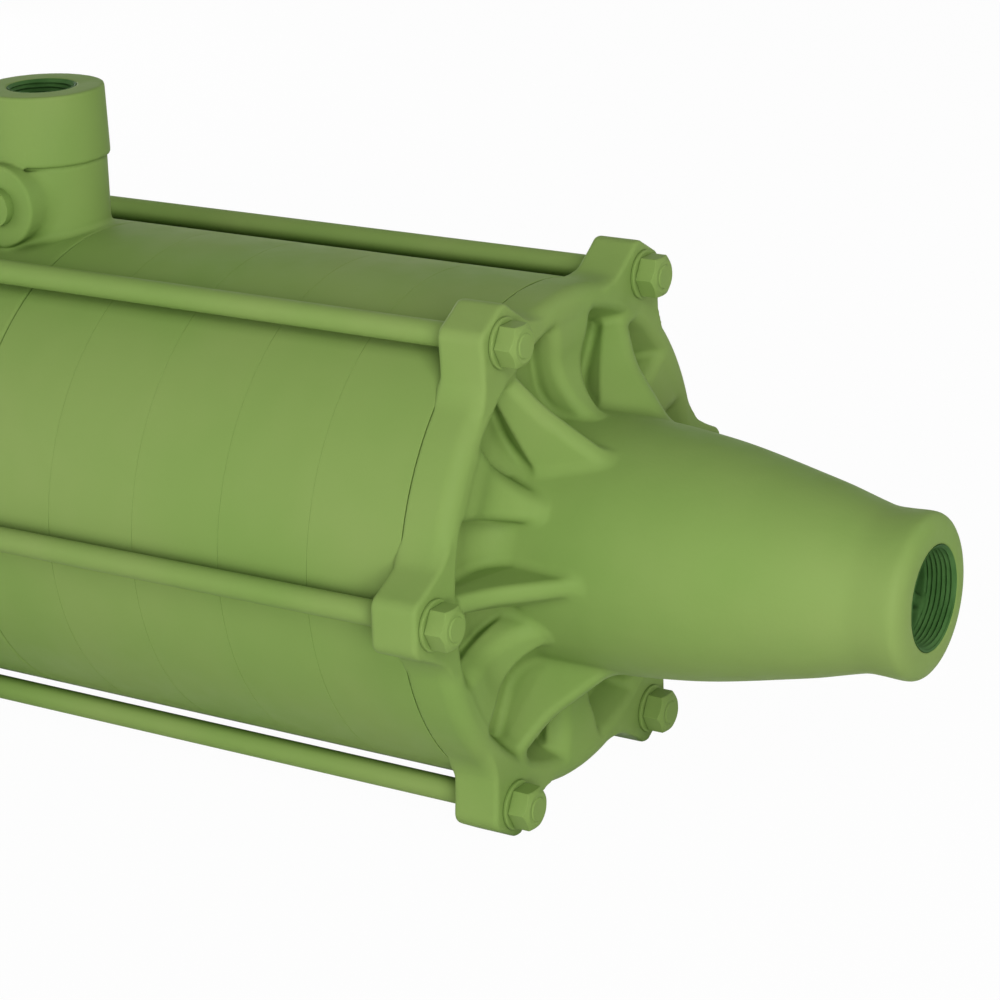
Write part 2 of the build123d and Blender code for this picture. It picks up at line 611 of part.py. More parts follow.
def discharge_casing():
    """Rear casing with the discharge port, rear lugs, feet and seal chamber."""
    drum = turned([
        (LAST_SEAM, 0), (LAST_SEAM, STAGE_RADIUS), (END_FACE, STAGE_RADIUS),
        (END_FACE, BRACKET_REGISTER_RADIUS - SPIGOT_GAP),
        (END_FACE - BRACKET_REGISTER_LENGTH, BRACKET_REGISTER_RADIUS - SPIGOT_GAP),
        (END_FACE - BRACKET_REGISTER_LENGTH, SEAL_NECK_RADIUS),
        (SEAL_FACE, SEAL_NECK_RADIUS), (SEAL_FACE, 0)])
    neck, collar = discharge_port()
    body = drum + neck
    middle = (PORT_X, 0, STAGE_RADIUS)
    foot_line = body.edges().sort_by_distance(middle)[0]
    body = fillet(foot_line, PORT_NECK_FOOT_ROUND)
    body = body + collar + gauge_boss()
    lugs = ring_of_lugs(END_FACE + RIM_THICKNESS, END_FACE)
    body = joined(body, lugs + [foot(-1), foot(1)])
    chamber = rod(LAST_SEAM, CHAMBER_END, STAGE_BORE_RADIUS)
    neck_bore = rod(CHAMBER_END, SEAL_FACE, SHAFT_SHOULDER_RADIUS + SHAFT_PASS_GAP)
    seal_space = rod(SEAL_FACE, SEAL_FACE + SEAL_CHAMBER_DEPTH, SEAL_CHAMBER_RADIUS)
    body = body - chamber - neck_bore - seal_space - port_cut()
    body = body - gauge_hole(PLUG_RADIUS + SCREW_HOLE_GAP, PLUG_LENGTH + SCREW_TIP_SPACE)
    body = body - drain_hole()
    body = without(body, rod_holes(END_FACE, END_FACE + RIM_THICKNESS))
    depth = SCREW_LENGTH - BRACKET_FLANGE_THICKNESS + SCREW_TIP_SPACE
    return without(body, screw_circle(
        rod(END_FACE, END_FACE + depth, SCREW_RADIUS + SCREW_HOLE_GAP, (0, SCREW_CIRCLE))))


def bracket_screws():
    """Hexagon screws whose heads sit on the rear of the bracket's flange."""
    shank = rod(FLANGE_REAR, FLANGE_REAR + SCREW_LENGTH, SCREW_RADIUS, (0, SCREW_CIRCLE))
    head = hexagon(
        FLANGE_REAR - SCREW_HEAD_HEIGHT, FLANGE_REAR, SCREW_ACROSS_FLATS, (0, SCREW_CIRCLE))
    return Compound(screw_circle(shank + head))


def drain_plug():
    """Socket plug that ends flush with the drum."""
    low = -STAGE_RADIUS
    body = upright(PLUG_RADIUS, low, low + DRAIN_PLUG_LENGTH, PORT_X)
    socket = extrude(Plane.XY.offset(low) * Pos(PORT_X, 0) * RegularPolygon(
        PLUG_SOCKET_ACROSS_FLATS / 2, 6, major_radius=False), amount=DRAIN_PLUG_LENGTH / 2)
    return body - socket


def gauge_plug():
    """Round headed plug with a hexagon socket in the gauge boss."""
    plane = Plane(origin=(PORT_X, -BOSS_FACE, BOSS_HEIGHT), x_dir=(1, 0, 0), z_dir=(0, 1, 0))
    body = extrude(plane * Circle(PLUG_RADIUS), amount=PLUG_LENGTH)
    head = extrude(plane * Circle(PLUG_HEAD_RADIUS), amount=-PLUG_HEAD_HEIGHT)
    front = plane.offset(-PLUG_HEAD_HEIGHT)
    socket = extrude(front * RegularPolygon(
        PLUG_SOCKET_ACROSS_FLATS / 2, 6, major_radius=False), amount=PLUG_HEAD_HEIGHT)
    return body + head - socket


def tie_rod(angle):
    """Rod that clamps the casings together."""
    front = RIM_FACE + NUT_HEIGHT + ROD_END_STAND_OUT
    rear = END_FACE - NUT_HEIGHT - ROD_END_STAND_OUT
    return rod(front, rear, ROD_RADIUS, around(angle, ROD_CIRCLE)[1:])


def nuts(seat, direction):
    """Hexagon nuts of the tie rods, each with a corner pointing away from the shaft axis."""
    outer = seat + direction * NUT_HEIGHT
    one = hexagon(seat, outer, NUT_ACROSS_FLATS, (0, ROD_CIRCLE), turn=30) - rod(
        seat, outer, ROD_RADIUS + NUT_BORE_GAP, (0, ROD_CIRCLE))
    return Compound(spun(one, ROD_COUNT, 180.0 / ROD_COUNT))


def seal_cover():
    """Flange that closes the seal chamber and holds the stationary seat."""
    rear = SEAL_FACE - SEAL_COVER_THICKNESS
    seat_rear = SEAL_PLANE - SEAL_SEAT_THICKNESS
    return turned([
        (SEAL_FACE, SEAL_SEAT_RADIUS + SLIDE_GAP), (SEAL_FACE, SEAL_NECK_RADIUS),
        (rear, SEAL_NECK_RADIUS), (rear, SHAFT_RADIUS + SHAFT_PASS_GAP),
        (seat_rear, SHAFT_RADIUS + SHAFT_PASS_GAP), (seat_rear, SEAL_SEAT_RADIUS + SLIDE_GAP)])


def bearing_bracket():
    """Lantern and bearing housing in one casting."""
    outer = turned([
        (END_FACE, BRACKET_REGISTER_RADIUS), (END_FACE, BRACKET_FLANGE_RADIUS),
        (FLANGE_REAR, BRACKET_FLANGE_RADIUS), (FLANGE_REAR, BRACKET_CONE_RADIUS),
        (CONE_REAR, HOUSING_RADIUS + BRACKET_CONE_STEP), (CONE_REAR, HOUSING_RADIUS),
        (HOUSING_REAR + HOUSING_FLANGE_THICKNESS, HOUSING_RADIUS),
        (HOUSING_REAR + HOUSING_FLANGE_THICKNESS, HOUSING_FLANGE_RADIUS),
        (HOUSING_REAR, HOUSING_FLANGE_RADIUS),
        (HOUSING_REAR, BEARING_OUTER_RADIUS + BEARING_SEAT_GAP),
        (BEARING_FRONT, BEARING_OUTER_RADIUS + BEARING_SEAT_GAP),
        (BEARING_FRONT, SHAFT_RADIUS + SHAFT_PASS_GAP),
        (CONE_REAR, SHAFT_RADIUS + SHAFT_PASS_GAP),
        (CONE_REAR, BRACKET_CAVITY_RADIUS), (FLANGE_REAR, BRACKET_REGISTER_RADIUS)])
    window_front = FLANGE_REAR - WINDOW_MARGIN
    window_rear = CONE_REAR + WINDOW_MARGIN
    outline = RectangleRounded(window_front - window_rear, WINDOW_HEIGHT, WINDOW_ROUND)
    middle = (window_front + window_rear) / 2
    window = extrude(Plane.XZ * Pos(middle, 0) * outline, amount=BRACKET_FLANGE_RADIUS, both=True)
    return without(outer - window, screw_circle(
        rod(FLANGE_REAR, END_FACE, SCREW_RADIUS + ROD_HOLE_GAP, (0, SCREW_CIRCLE))))


def bearing_rings(front):
    """Inner and outer ring of a sealed ball bearing."""
    rear = front - BEARING_WIDTH
    inner = tube(front, rear, BEARING_INNER_RING_OUTER_RADIUS, SHAFT_RADIUS + SLIDE_GAP)
    outer = tube(front, rear, BEARING_OUTER_RADIUS, BEARING_OUTER_RING_INNER_RADIUS)
    return inner, outer


def bearing_cover():
    """Rear cover with a spigot that holds the rear bearing, and the seat of the lip seal."""
    cavity = BEARING_OUTER_RING_INNER_RADIUS - COVER_CAVITY_STEP
    return turned([
        (BEARING_REAR, cavity), (BEARING_REAR, BEARING_OUTER_RADIUS - SPIGOT_GAP),
        (HOUSING_REAR, BEARING_OUTER_RADIUS - SPIGOT_GAP), (HOUSING_REAR, HOUSING_FLANGE_RADIUS),
        (LIP_SEAL_REAR, HOUSING_FLANGE_RADIUS), (LIP_SEAL_REAR, LIP_SEAL_RADIUS + SLIDE_GAP),
        (COVER_CAVITY, LIP_SEAL_RADIUS + SLIDE_GAP), (COVER_CAVITY, cavity)])


def all_parts():
    """Every node's name and solid."""
    parts = {"suction_casing": suction_casing(), "tail_bush": tail_bush()}
    for i in range(STAGE_COUNT):
        parts[f"stage_casing_{i + 1}"] = stage_casing(FIRST_SEAM - i * STAGE_PITCH)
        parts[f"impeller_{i + 1}"] = impeller(STACK_FRONT - i * STAGE_PITCH)
    parts["spacer_sleeves"] = spacer_sleeves()
    parts["impeller_key"] = impeller_key()
    parts["impeller_nut"] = impeller_nut()
    parts["shaft"] = shaft()
    parts["discharge_casing"] = discharge_casing()
    parts["gauge_plug"] = gauge_plug()
    parts["drain_plug"] = drain_plug()
    for i, angle in enumerate(rod_angles()):
        parts[f"tie_rod_{i + 1}"] = tie_rod(angle)
    parts["tie_rod_nuts_suction"] = nuts(RIM_FACE, 1)
    parts["tie_rod_nuts_discharge"] = nuts(END_FACE, -1)
    parts["seal_cover"] = seal_cover()
    parts["seal_seat"] = tube(SEAL_PLANE, SEAL_PLANE - SEAL_SEAT_THICKNESS,
                              SEAL_SEAT_RADIUS, SHAFT_RADIUS + SHAFT_PASS_GAP)
    parts["seal_rotating_ring"] = tube(SEAL_RING_REAR, SEAL_RING_FRONT, SEAL_FACE_RADIUS,
                                       SHAFT_RADIUS + SLIDE_GAP)
    parts["seal_spring"] = tube(SEAL_RING_FRONT, SEAL_SPRING_FRONT, SEAL_SPRING_RADIUS,
                                SHAFT_RADIUS + SLIDE_GAP)
    parts["bearing_bracket"] = bearing_bracket()
    parts["bracket_screws"] = bracket_screws()
    for i, front in enumerate((BEARING_FRONT, BEARING_REAR + BEARING_WIDTH)):
        inner, outer = bearing_rings(front)
        parts[f"bearing_inner_ring_{i + 1}"] = inner
        parts[f"bearing_outer_ring_{i + 1}"] = outer
    parts["bearing_spacer"] = tube(BEARING_FRONT - BEARING_WIDTH, BEARING_REAR + BEARING_WIDTH,
                                   SLEEVE_RADIUS, SHAFT_RADIUS + SLIDE_GAP)
    parts["bearing_locknut"] = tube(BEARING_REAR, LOCKNUT_REAR, LOCKNUT_RADIUS,
                                    SHAFT_RADIUS + SLIDE_GAP)
    parts["bearing_cover"] = bearing_cover()
    parts["lip_seal"] = tube(COVER_CAVITY, LIP_SEAL_REAR, LIP_SEAL_RADIUS,
                             SHAFT_RADIUS + RUNNING_GAP)
    flinger_rear = CONE_REAR + FLINGER_GAP
    parts["flinger"] = tube(flinger_rear, flinger_rear + FLINGER_WIDTH, FLINGER_RADIUS,
                            SHAFT_RADIUS + SLIDE_GAP)
    return parts


os.makedirs("parts", exist_ok=True)
for name, solid in all_parts().items():
    export_step(solid, f"parts/{name}.step")
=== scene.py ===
"""Looks of a painted multistage pump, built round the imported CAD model.

The castings are worked out as distance fields, in millimetres, because that gives them the soft
corners of cast iron. The turned and machined pieces are built ring by ring. All of them stay inside
the CAD model's outline and keep its seats and holes.
"""
import json
from math import cos, pi, radians, sin, tan

import bmesh
import bpy
import numpy as np
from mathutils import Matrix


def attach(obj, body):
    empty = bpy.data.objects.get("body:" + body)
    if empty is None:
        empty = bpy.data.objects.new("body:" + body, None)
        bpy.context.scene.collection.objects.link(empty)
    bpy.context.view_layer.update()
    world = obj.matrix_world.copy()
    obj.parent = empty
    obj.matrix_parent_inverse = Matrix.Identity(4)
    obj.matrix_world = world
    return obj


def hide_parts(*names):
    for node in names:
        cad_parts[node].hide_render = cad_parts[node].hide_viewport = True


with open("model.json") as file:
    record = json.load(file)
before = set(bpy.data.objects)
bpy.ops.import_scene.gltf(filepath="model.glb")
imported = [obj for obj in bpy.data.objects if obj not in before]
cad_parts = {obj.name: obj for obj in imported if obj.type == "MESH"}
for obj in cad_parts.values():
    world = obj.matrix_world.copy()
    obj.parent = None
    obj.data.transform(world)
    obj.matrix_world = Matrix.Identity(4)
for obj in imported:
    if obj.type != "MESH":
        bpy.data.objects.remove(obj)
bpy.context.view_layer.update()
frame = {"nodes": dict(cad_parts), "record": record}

import openvdb
from mathutils import Matrix, Vector

MM = 0.001

# Steps of the castings' grids and of their turned outlines, and values far from any surface
CASTING_STEP = 1.1
TABLE_STEP = 0.5
FAR_PAST_AXIS = -200.0
NO_LIMIT = -99.0

# Sizes in millimetres, as in the CAD model. Places along X are negative behind the mouth.
ROD_COUNT = 6
ROD_CIRCLE = 130.0
ROD_RADIUS = 6.0
ROD_HOLE_RADIUS = 6.5
LUG_OUTER_RADIUS = 144.5
LUG_SHOULDER_RADIUS = 127.0
LUG_ROOT_RADIUS = 115.75
LUG_HALF_TIP = 12.0
LUG_HALF_SHOULDER = 19.5
LUG_HALF_ROOT = 27.0
LUG_LENGTH = 24.0
SOLE_HEIGHT = -129.5

# Stage casings and the casings' seats
STAGE_COUNT = 5
STAGE_PITCH = 50.0
STAGE_RADIUS = 121.0
STAGE_BORE = 110.5
STAGE_WEB = 8.0
SPIGOT_RADIUS = 110.4
SPIGOT_LENGTH = 4.0
EYE_RADIUS = 38.0
RIM_FACE = -182.0
FIRST_SEAM = RIM_FACE - LUG_LENGTH
LAST_SEAM = FIRST_SEAM - STAGE_COUNT * STAGE_PITCH
END_FACE = LAST_SEAM - 96.0

# Water way and spider of the suction casing
MOUTH_BORE = 24.3
MOUTH_DEPTH = 14.0
THROAT_RADIUS = 22.0
CHAMBER_RADIUS = 50.0
CHAMBER_FRONT = -140.0
CHAMBER_REAR = -165.0
HUB_TIP_RADIUS = 6.5
HUB_TIP_CHAMFER = 3.0
HUB_CONE_REAR = -113.0
HUB_RADIUS = 20.0
HUB_BORE = 14.0
HUB_BORE_FRONT = -133.0
ARM_COUNT = 3
ARM_HALF = 3.0

# Port, boss and plug holes of the discharge casing
PORT_X = -492.0
PORT_TOP = 192.0
PORT_DEPTH = 12.0
PORT_BORE = 17.4
PORT_PASSAGE = 15.5
PORT_FLOOR = 96.0
SPLITTER_HALF = 1.5
NECK_RADIUS = 30.8
NECK_TOP = 170.0
COLLAR_RADIUS = 32.6
COLLAR_FOOT = 156.0
COLLAR_TAPER_RUN = 40.0
BOSS_HEIGHT = 138.0
BOSS_RADIUS = 21.0
BOSS_FACE = 40.0
PLUG_HOLE_RADIUS = 6.6
PLUG_HOLE_DEPTH = 14.0
DRAIN_HOLE_TOP = -106.0

# Feet
FOOT_INNER = 52.0
FOOT_OUTER = 116.0
FOOT_LENGTH = 40.0
FOOT_THICKNESS = 9.0
FOOT_WEB_OUTER = 114.0
FOOT_WEB_TOP = -69.0
FOOT_WEB_THICKNESS = 10.0
FOOT_HOLE_X = END_FACE + 26.8
FOOT_HOLE_Y = 100.0
FOOT_HOLE_RADIUS = 7.0
FOOT_HOLE_DEPTH = 12.0

# Seal chamber, and where the bracket sits on the discharge casing
WATER_REAR = -530.0
SHAFT_HOLE_RADIUS = 17.5
SEAL_CHAMBER_FRONT = -538.0
SEAL_CHAMBER_RADIUS = 24.0
SEAL_BOSS_RADIUS = 38.0
SEAL_BOSS_LENGTH = 8.0
SEAL_COVER_FACE = -570.0
BRACKET_SPIGOT_RADIUS = 51.9
BRACKET_SPIGOT_LENGTH = 4.0
BRACKET_SCREW_COUNT = 4
BRACKET_SCREW_CIRCLE = 77.0
SCREW_HOLE_RADIUS = 5.1
SCREW_HOLE_DEPTH = 16.0
SCREW_CLEARANCE_RADIUS = 5.5

# Bearing bracket
FLANGE_RADIUS = 88.0
FLANGE_THICKNESS = 12.0
FLANGE_BORE = 52.0
LANTERN_FRONT_RADIUS = 66.0
LANTERN_REAR_RADIUS = 50.0
LANTERN_REAR_BORE = 42.0
LANTERN_REAR = -622.0
WINDOW_FRONT = -571.0
WINDOW_REAR = -615.0
WINDOW_HALF = 25.0
HOUSING_RADIUS = 44.0
HOUSING_RIM_RADIUS = 52.0
HOUSING_RIM_FRONT = -694.0
HOUSING_WALL_BORE = 14.0
BEARING_SEAT = -631.0
BEARING_BORE = 31.0
BEARING_COVER_SEAT = -706.0
BEARING_COVER_FACE = -716.0

# Threads
MOUTH_THREAD_ROOT = 23.9
PORT_THREAD_ROOT = 16.9
PIPE_THREAD_DEPTH = 1.5
PIPE_PITCH = 2.309
ROD_PITCH = 1.75

# Nose, ribbed face and the joint under the collar, as read from the photograph
NOSE_LINE = [(0.0, 24.0), (0.0, 29.0), (-0.6, 33.0), (-1.9, 36.0), (-4.0, 38.0), (-8.0, 38.6),
             (-17.0, 38.2), (-25.0, 38.3), (-33.0, 40.1),
             (-50.0, 44.7), (-67.0, 48.5), (-84.0, 52.2), (-101.0, 55.5), (-118.0, 57.9),
             (-140.0, 60.0), (-160.0, 60.8), (-180.0, 61.0)]
NOSE_FLARE = 18.0
DISH_FLOOR = -198.5
DISH_FLOOR_RADIUS = 102.0
RIM_INNER_RADIUS = 109.5
RIM_ROUND = 8.0
RIM_FLAT_RADIUS = 100.0
RIB_TOP_RADIUS = 112.0
MAIN_RIB_LINE = [(-184, 104), (-175, 88), (-163, 75), (-153, 65), (-147, 59)]
MAIN_RIB_HALF = 4.0
MID_RIB_LINE = [(RIM_FACE - 0.5, 108.5), (RIM_FACE - 1.0, 98), (-184.5, 88), (-183.5, 80),
                (-180, 72), (-175, 66), (-169, 61)]
MID_RIB_HALF_TOP = 16.0
MID_RIB_SPREAD = 0.24
STEEP = 0.08
SLOPING = 0.5
DRAFT_DEPTH = 20.0
ARM_END_IN_WALL = 5.0
JOINT_ABOVE = 0.2
JOINT_BELOW = 1.4
JOINT_DEPTH = 0.9

# Nuts, washers, rod ends and edges
NUT_ACROSS_FLATS = 19.0
NUT_FACE_SHARE = 0.82
NUT_HEIGHT = 10.0
WASHER_RADIUS = 12.0
WASHER_THICKNESS = 2.0
ROD_PAST_LUG = 12.6
ROD_CHAMFER = 0.6
ROD_THREAD_TURNS = 14
ROD_THREAD_DEPTH = 0.8
ROD_PLAIN_FROM = 40.0
BORE_OVERLAP = 0.2
SLEEVE_IN_WALL = 0.05
SEAM_BEVEL = 0.25
NUT_WEAR = 0.5
SHARP_ANGLE = 35


# Distance fields: negative inside, in millimetres

class Grid:
    """Even grid of points round a casting, with the distances and angles about the shaft."""

    def __init__(self, low, high):
        self.low = np.array(low, np.float32)
        count = [int((h - l) / CASTING_STEP) + 2 for l, h in zip(low, high)]
        axes = [l + CASTING_STEP * np.arange(n, dtype=np.float32) for l, n in zip(low, count)]
        self.x = axes[0][:, None, None]
        self.y = axes[1][None, :, None]
        self.z = axes[2][None, None, :]
        self.r = np.hypot(self.y, self.z)
        self.angle = np.arctan2(-self.y, self.z)

    def folded(self, count, offset=0.0):
        """(across, up) of each point, after turning it into the nearest of evenly spread arms."""
        pitch = 2 * pi / count
        turn = (self.angle - radians(offset) + pitch / 2) % pitch - pitch / 2
        return self.r * np.sin(turn), self.r * np.cos(turn)

    def turned(self, outline):
        """Field of an (x, radius) outline, a function of x and radius, turned about the shaft."""
        radii = np.arange(0, self.r.max() + 1, TABLE_STEP, dtype=np.float32)
        table = outline(self.x[:, :, 0], radii[None, :]).astype(np.float32)
        place = self.r[0] / TABLE_STEP
        index = np.minimum(place.astype(int), len(radii) - 2)
        share = (place - index)[None]
        return table[:, index] * (1 - share) + table[:, index + 1] * share


def polygon(*points):
    """Field of a closed outline. A point on the axis is moved far past it."""
    corners = np.array([(x, r if r > 0 else FAR_PAST_AXIS) for x, r in points], np.float64)

    def outline(x, r):
        best = np.full(np.broadcast(x, r).shape, 1e9)
        inside = np.zeros(best.shape, bool)
        for (ax, ar), (bx, br) in zip(corners, np.roll(corners, -1, axis=0)):
            ex, er = bx - ax, br - ar
            t = np.clip(((x - ax) * ex + (r - ar) * er) / (ex * ex + er * er), 0, 1)
            best = np.minimum(best, np.hypot(x - ax - t * ex, r - ar - t * er))
            if er != 0:
                crosses = (ar > r) != (br > r)
                inside ^= crosses & (x < ax + (r - ar) * ex / er)
        return np.where(inside, -best, best)

    return outline


def union(a, b, fillet=0.0):
    """Both solids, with a fillet in the corner between them."""
    if not fillet:
        return np.minimum(a, b)
    corner = np.hypot(np.maximum(fillet - a, 0), np.maximum(fillet - b, 0))
    return np.maximum(fillet, np.minimum(a, b)) - corner


def overlap(a, b, rounding=0.0):
    """What both solids share, with a rounded edge."""
    return -union(-a, -b, rounding)


def cut(a, b, rounding=0.0):
    """The first solid without the second."""
    return overlap(a, -b, rounding)


def between(value, low, high):
    """Slab between two places."""
    return np.maximum(low - value, value - high)


def smooth_line(points, steps=8):
    """Points along a smooth line through some (x, radius) points."""
    p = np.array(points, float)
    p = np.vstack([2 * p[0] - p[1], p, 2 * p[-1] - p[-2]])
    line = []
    for a, b, c, d in zip(p, p[1:], p[2:], p[3:]):
        for t in np.arange(steps) / steps:
            line.append(0.5 * (2 * b + (c - a) * t + (2 * a - 5 * b + 4 * c - d) * t**2
                               + (3 * b - a - 3 * c + d) * t**3))
    return [tuple(q) for q in line] + [tuple(points[-1])]


def surface(name, grid, field):
    """Mesh of the zero level of a field, smoothly shaded from the field's own slope."""
    field = np.ascontiguousarray(np.broadcast_to(field, np.broadcast(
        grid.x, grid.y, grid.z).shape), np.float32)
    band = 3 * CASTING_STEP
    volume = openvdb.FloatGrid(band)
    volume.copyFromArray(np.clip(field, -band, band))
    points, quads = volume.convertToQuads(0.0)
    slope = [np.gradient(field, CASTING_STEP, axis=i) for i in range(3)]
    base = np.clip(points.astype(int), 0, np.array(field.shape) - 2)
    part = points - base
    normal = np.zeros(points.shape)
    for corner in np.ndindex(2, 2, 2):
        weight = np.prod(np.where(corner, part, 1 - part), axis=1)
        index = tuple((base + corner).T)
        normal += weight[:, None] * np.stack([s[index] for s in slope], axis=1)
    normal /= np.maximum(np.linalg.norm(normal, axis=1, keepdims=True), 1e-9)

    mesh = bpy.data.meshes.new(name)
    mesh.from_pydata((points * CASTING_STEP + grid.low) * MM, [], quads[:, ::-1])
    mesh.update()
    first = mesh.polygons[0]
    if np.array(first.normal) @ normal[first.vertices[0]] < 0:
        mesh.flip_normals()
    mesh.shade_smooth()
    mesh.normals_split_custom_set_from_vertices(normal)
    return added(name, mesh)


def added(name, mesh):
    """A new piece of the stator."""
    thing = bpy.data.objects.new(name, mesh)
    bpy.context.collection.objects.link(thing)
    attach(thing, "stator")
    return thing


# Castings

def flank(across, up, half_low, low, half_high, high):
    """Both straight flanks of a lug, which widen from one radius down to another."""
    slope = (half_low - half_high) / (high - low)
    return (np.abs(across) - half_high - slope * (high - up)) / np.hypot(1, slope)


def lugs(grid, low, high):
    """Six lugs with flared feet and rounded corners, as one field."""
    across, up = grid.folded(ROD_COUNT, 180 / ROD_COUNT)
    upper = flank(across, up, LUG_HALF_SHOULDER, LUG_SHOULDER_RADIUS, LUG_HALF_TIP,
                  LUG_OUTER_RADIUS)
    lower = flank(across, up, LUG_HALF_ROOT, LUG_ROOT_RADIUS, LUG_HALF_SHOULDER,
                  LUG_SHOULDER_RADIUS)
    shape = overlap(union(upper, lower, fillet=2.0), up - LUG_OUTER_RADIUS, rounding=4.0)
    shape = np.maximum(shape, LUG_ROOT_RADIUS - up)
    return overlap(shape, between(grid.x, low, high), rounding=2.0)


def rod_holes(grid):
    """Six clearance holes for the tie rods, as one field."""
    across, up = grid.folded(ROD_COUNT, 180 / ROD_COUNT)
    return np.hypot(across, up - ROD_CIRCLE) - ROD_HOLE_RADIUS


def rib(across, up, half, crest, drafts, rounding):
    """Rib under a crest line. Each flank leans out with the depth below that line."""
    draft = np.where(across < 0, *drafts)
    depth = np.clip(crest, -DRAFT_DEPTH, 0)
    side = (np.abs(across) - half + draft * depth) / np.hypot(1, draft)
    return overlap(np.maximum(side, -up), crest, rounding)


def suction_face(grid):
    """Nose, rim and dished face, with twelve ribs."""
    drum = polygon((FIRST_SEAM - SPIGOT_LENGTH, 0), (FIRST_SEAM - SPIGOT_LENGTH, SPIGOT_RADIUS),
                   (FIRST_SEAM, SPIGOT_RADIUS), (FIRST_SEAM, STAGE_RADIUS),
                   (FIRST_SEAM + 4, STAGE_RADIUS), (FIRST_SEAM + 4, 0))
    hollow = polygon((0, 0), (0, RIM_INNER_RADIUS), (RIM_FACE, RIM_INNER_RADIUS),
                     (DISH_FLOOR, DISH_FLOOR_RADIUS), (DISH_FLOOR, 0))
    nose = polygon((DISH_FLOOR - 1, 0), (0, 0), *smooth_line(NOSE_LINE),
                   (DISH_FLOOR - 1, NOSE_LINE[-1][1]))

    def profile(x, r):
        front = overlap(x - RIM_FACE, np.maximum(r - STAGE_RADIUS, FIRST_SEAM - x), RIM_ROUND)
        face = cut(np.minimum(front, drum(x, r)), hollow(x, r), rounding=3.0)
        return union(face, nose(x, r), NOSE_FLARE)

    def crest(line):
        behind, (top, _), (end, _) = DISH_FLOOR - 2, line[0], line[-1]
        return grid.turned(polygon((behind, 0), (behind, RIB_TOP_RADIUS), (top, RIB_TOP_RADIUS),
                                   *smooth_line(line), (end, 0)))

    across, up = grid.folded(ROD_COUNT)
    half = MID_RIB_HALF_TOP + MID_RIB_SPREAD * (up - DISH_FLOOR_RADIUS)
    mid_ribs = rib(across, up, half, crest(MID_RIB_LINE), (SLOPING, STEEP), rounding=5.0)
    main_ribs = rib(*grid.folded(ROD_COUNT, 180 / ROD_COUNT), MAIN_RIB_HALF,
                    crest(MAIN_RIB_LINE), (STEEP, SLOPING), rounding=3.0)
    return union(union(grid.turned(profile), mid_ribs, fillet=3.0), main_ribs, fillet=4.0)


def spider(grid):
    """Hub of the tail bush on three arms, in the water way."""
    hub = grid.turned(polygon(
        (-MOUTH_DEPTH, 0), (-MOUTH_DEPTH, HUB_TIP_RADIUS),
        (-MOUTH_DEPTH - HUB_TIP_CHAMFER, HUB_TIP_RADIUS + HUB_TIP_CHAMFER),
        (HUB_CONE_REAR, HUB_RADIUS), (CHAMBER_REAR, HUB_RADIUS), (CHAMBER_REAR, 0)))
    bore = grid.turned(polygon(
        (CHAMBER_REAR - 5, 0), (CHAMBER_REAR - 5, HUB_BORE), (HUB_BORE_FRONT, HUB_BORE),
        (HUB_BORE_FRONT, 0)))
    across, up = grid.folded(ARM_COUNT)
    arms = overlap(overlap(np.abs(across) - ARM_HALF, -up),
                   between(grid.x, CHAMBER_REAR, -MOUTH_DEPTH), rounding=2.0)
    return cut(union(hub, arms, fillet=4.0), bore)


def suction_casing():
    """Front casing: nose, dished face, twelve ribs, lugs and the spider in the water way."""
    side = LUG_OUTER_RADIUS + 4.5
    grid = Grid((FIRST_SEAM - 8, -side, SOLE_HEIGHT - 4.5), (4, side, side))
    body = union(suction_face(grid), lugs(grid, FIRST_SEAM, RIM_FACE), fillet=6.0)
    body = np.maximum(body, np.where(grid.r > RIM_FLAT_RADIUS, grid.x - RIM_FACE, NO_LIMIT))
    body = np.maximum(body, FIRST_SEAM - SPIGOT_LENGTH - grid.x)
    body = np.maximum(body, SOLE_HEIGHT - grid.z)
    body = cut(body, rod_holes(grid))
    passage = grid.turned(polygon(
        (5, 0), (5, MOUTH_BORE), (-MOUTH_DEPTH, MOUTH_BORE), (-MOUTH_DEPTH, THROAT_RADIUS),
        (CHAMBER_FRONT, CHAMBER_RADIUS), (CHAMBER_REAR, CHAMBER_RADIUS), (DISH_FLOOR, EYE_RADIUS),
        (FIRST_SEAM - 9, EYE_RADIUS), (FIRST_SEAM - 9, 0)))
    inner = overlap(spider(grid), body + ARM_END_IN_WALL)
    return surface("suction_casting", grid, union(cut(body, passage), inner, fillet=3.0))


def port_and_boss(grid, drum):
    """Drum with the neck and collar of the port, and the boss of the gauge plug."""
    from_port = np.hypot(grid.x - PORT_X, grid.y)
    neck = overlap(from_port - NECK_RADIUS, between(grid.z, 0, NECK_TOP))
    taper = (grid.z - COLLAR_FOOT) / COLLAR_TAPER_RUN
    collar = overlap(from_port - COLLAR_RADIUS + taper, between(grid.z, COLLAR_FOOT, PORT_TOP),
                     rounding=1.0)
    boss = np.hypot(grid.x - PORT_X, grid.z - BOSS_HEIGHT) - BOSS_RADIUS
    boss = overlap(boss, between(grid.y, -BOSS_FACE, 0), rounding=1.0)
    body = union(union(drum, neck, fillet=3.0), boss, fillet=4.0)
    joint = np.maximum(between(grid.z, COLLAR_FOOT - JOINT_BELOW, COLLAR_FOOT + JOINT_ABOVE),
                       between(from_port, NECK_RADIUS - JOINT_DEPTH, COLLAR_RADIUS + JOINT_DEPTH))
    return cut(union(body, collar), joint)


